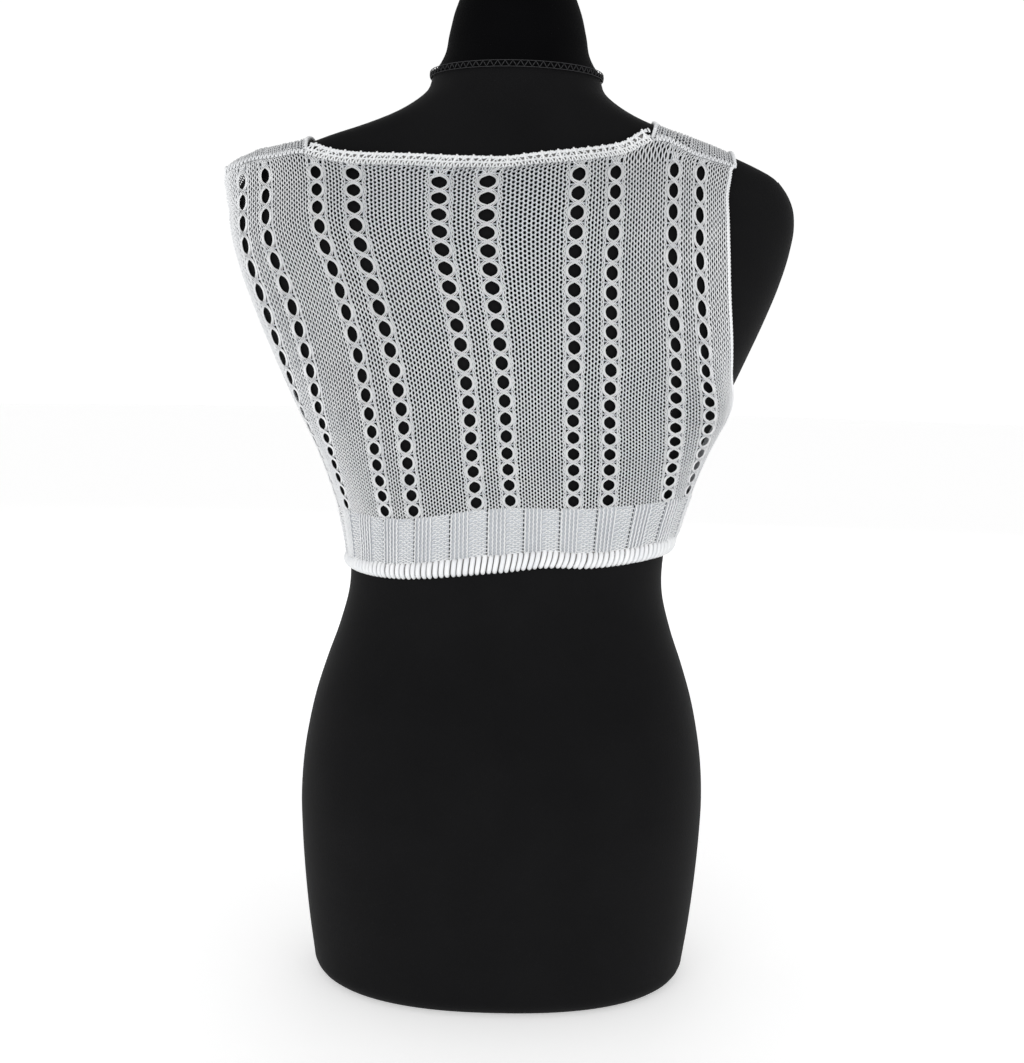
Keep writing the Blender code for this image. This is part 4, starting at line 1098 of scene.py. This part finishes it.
def build_top():
    behind, ahead = Lie(False), Lie(True)
    back_lie, front_lie = with_half_a_row(BACK_LIE), with_half_a_row(FRONT_LIE)
    back = panel_patch(behind, back_lie, False, 0.0, ACROSS, 3)
    low, high = FRONT_CORNERS
    left = panel_patch(ahead, front_lie, True, 0.0, low, 21)
    middle = panel_patch(ahead, front_lie, True, low, high, 3)
    right = panel_patch(ahead, front_lie, True, high, ACROSS, 21)
    meet(middle, left, low)
    meet(middle, right, high)
    back_ground, on_back = build_panel("back", [(back, 0.0, ACROSS)])
    front_ground, on_front = build_panel(
        "front", [(left, 0.0, low), (middle, low, high), (right, high, ACROSS)]
    )
    for side, lie, rows, waist, pieces in (
        ("back", behind, BACK_LIE, BACK_WAIST, on_back),
        ("front", ahead, FRONT_LIE, FRONT_WAIST, on_front),
    ):
        places = np.linspace(RIB_FOOT, 2.0, BAND_COURSES + 1)
        pieces.extend(band(side, waist_patch(lie, rows, waist, places)))
        pieces.extend(hem(side, waist_patch(lie, rows, waist, np.linspace(-0.15, 1.15, 14))))
    on_back.extend(neckline("back", top_row(back, *NECK_CORNERS), UP))
    path = np.concatenate([
        left.points[left.places > FRONT_NECK_ROW, -1][::-1],
        middle.points[-1][1:-1],
        right.points[right.places > FRONT_NECK_ROW, 0],
    ])
    on_front.extend(neckline("front", path, UP, taper=0.8))
    on_back.append(selvedge("back_armhole_chain", back, back))
    on_front.append(selvedge("front_armhole_chain", left, right))
    shoulders = top_row(back, 0.0, NECK_CORNERS[0]), top_row(back, NECK_CORNERS[1], ACROSS)
    on_back.append(seam("shoulder_seams", shoulders, 1.9, 3.3, 3.0))
    sides = [side_column(back, right_side, 0.5, ARMHOLE_FOOT) for right_side in (False, True)]
    on_back.append(seam("side_seams", sides, 1.5, 2.6, 2.6))


PHOTO_HEIGHT, FOCAL_PIXELS, SENSOR = 1063, 1457, 36
EYE, PITCH_DOWN, ROLL = (0.0037, -1.093, 0.482), 7.5, 1.24
FLOOR_REACH, FLOOR_SIDES = 9.0, 96


def studio():
    """The floor, the camera of the photo, three large lamps and a white surround."""
    place_stage()
    camera = bpy.data.cameras.new("camera")
    camera.sensor_fit = "VERTICAL"
    camera.sensor_height = SENSOR
    camera.lens = SENSOR * FOCAL_PIXELS / PHOTO_HEIGHT
    eye = bpy.data.objects.new("camera", camera)
    bpy.context.scene.collection.objects.link(eye)
    pitch = Matrix.Rotation(math.radians(90 - PITCH_DOWN), 4, "X")
    roll = Matrix.Rotation(math.radians(ROLL), 4, "Z")
    eye.matrix_world = Matrix.Translation(EYE) @ pitch @ roll
    bpy.context.scene.camera = eye
    for name, spot, aim, size, power in (
        ("key", (-0.9, -2.3, 0.75), (0, 0, 0.42), 1.6, 15),
        ("fill", (1.5, -2.0, 0.55), (0, 0, 0.42), 1.6, 7),
        ("behind", (0.2, 2.4, 1.3), (0, 0, 0.45), 1.8, 8),
    ):
        light = bpy.data.lights.new(name, "AREA")
        light.size, light.energy = size, power
        lamp = bpy.data.objects.new(name, light)
        lamp.location = spot
        direction = Vector(aim) - Vector(spot)
        lamp.rotation_euler = direction.to_track_quat("-Z", "Y").to_euler()
        bpy.context.scene.collection.objects.link(lamp)
    world = bpy.data.worlds.new("studio")
    world.use_nodes = True
    tree = world.node_tree
    node, link = tree.nodes.new, tree.links.new
    where = node("ShaderNodeTexCoord")
    part = node("ShaderNodeSeparateXYZ")
    ramp = node("ShaderNodeValToRGB")
    link(where.outputs["Generated"], part.inputs["Vector"])
    link(part.outputs["Z"], ramp.inputs["Fac"])
    for stop, at, grey in zip(ramp.color_ramp.elements, (0.30, 0.75), (1, 0.42)):
        stop.position, stop.color = at, (grey, grey, grey, 1)
    link(ramp.outputs["Color"], tree.nodes["Background"].inputs["Color"])
    tree.nodes["Background"].inputs["Strength"].default_value = 1.02
    bpy.context.scene.world = world
    bpy.context.scene.view_settings.view_transform = "Standard"


def place_stage():
    turn = np.linspace(0, 2 * math.pi, FLOOR_SIDES + 1)[:-1]
    rim = [(math.cos(a) * FLOOR_REACH, math.sin(a) * FLOOR_REACH, 0) for a in turn]
    verts = [(0, 0, 0)] + rim
    faces = [(0, n + 1, (n + 1) % FLOOR_SIDES + 1) for n in range(FLOOR_SIDES)]
    mesh = bpy.data.meshes.new("floor")
    mesh.from_pydata(verts, [], faces)
    paint = plain_material("floor_paint", (0.92, 0.92, 0.92), 0.9)
    shader = paint.node_tree.nodes["Principled BSDF"]
    put(shader, Emission_Color=(1, 1, 1, 1), Emission_Strength=0.42)
    mesh.materials.append(paint)
    floor = bpy.data.objects.new("floor", mesh)
    bpy.context.scene.collection.objects.link(floor)


studio()
dress_form()
build_top()
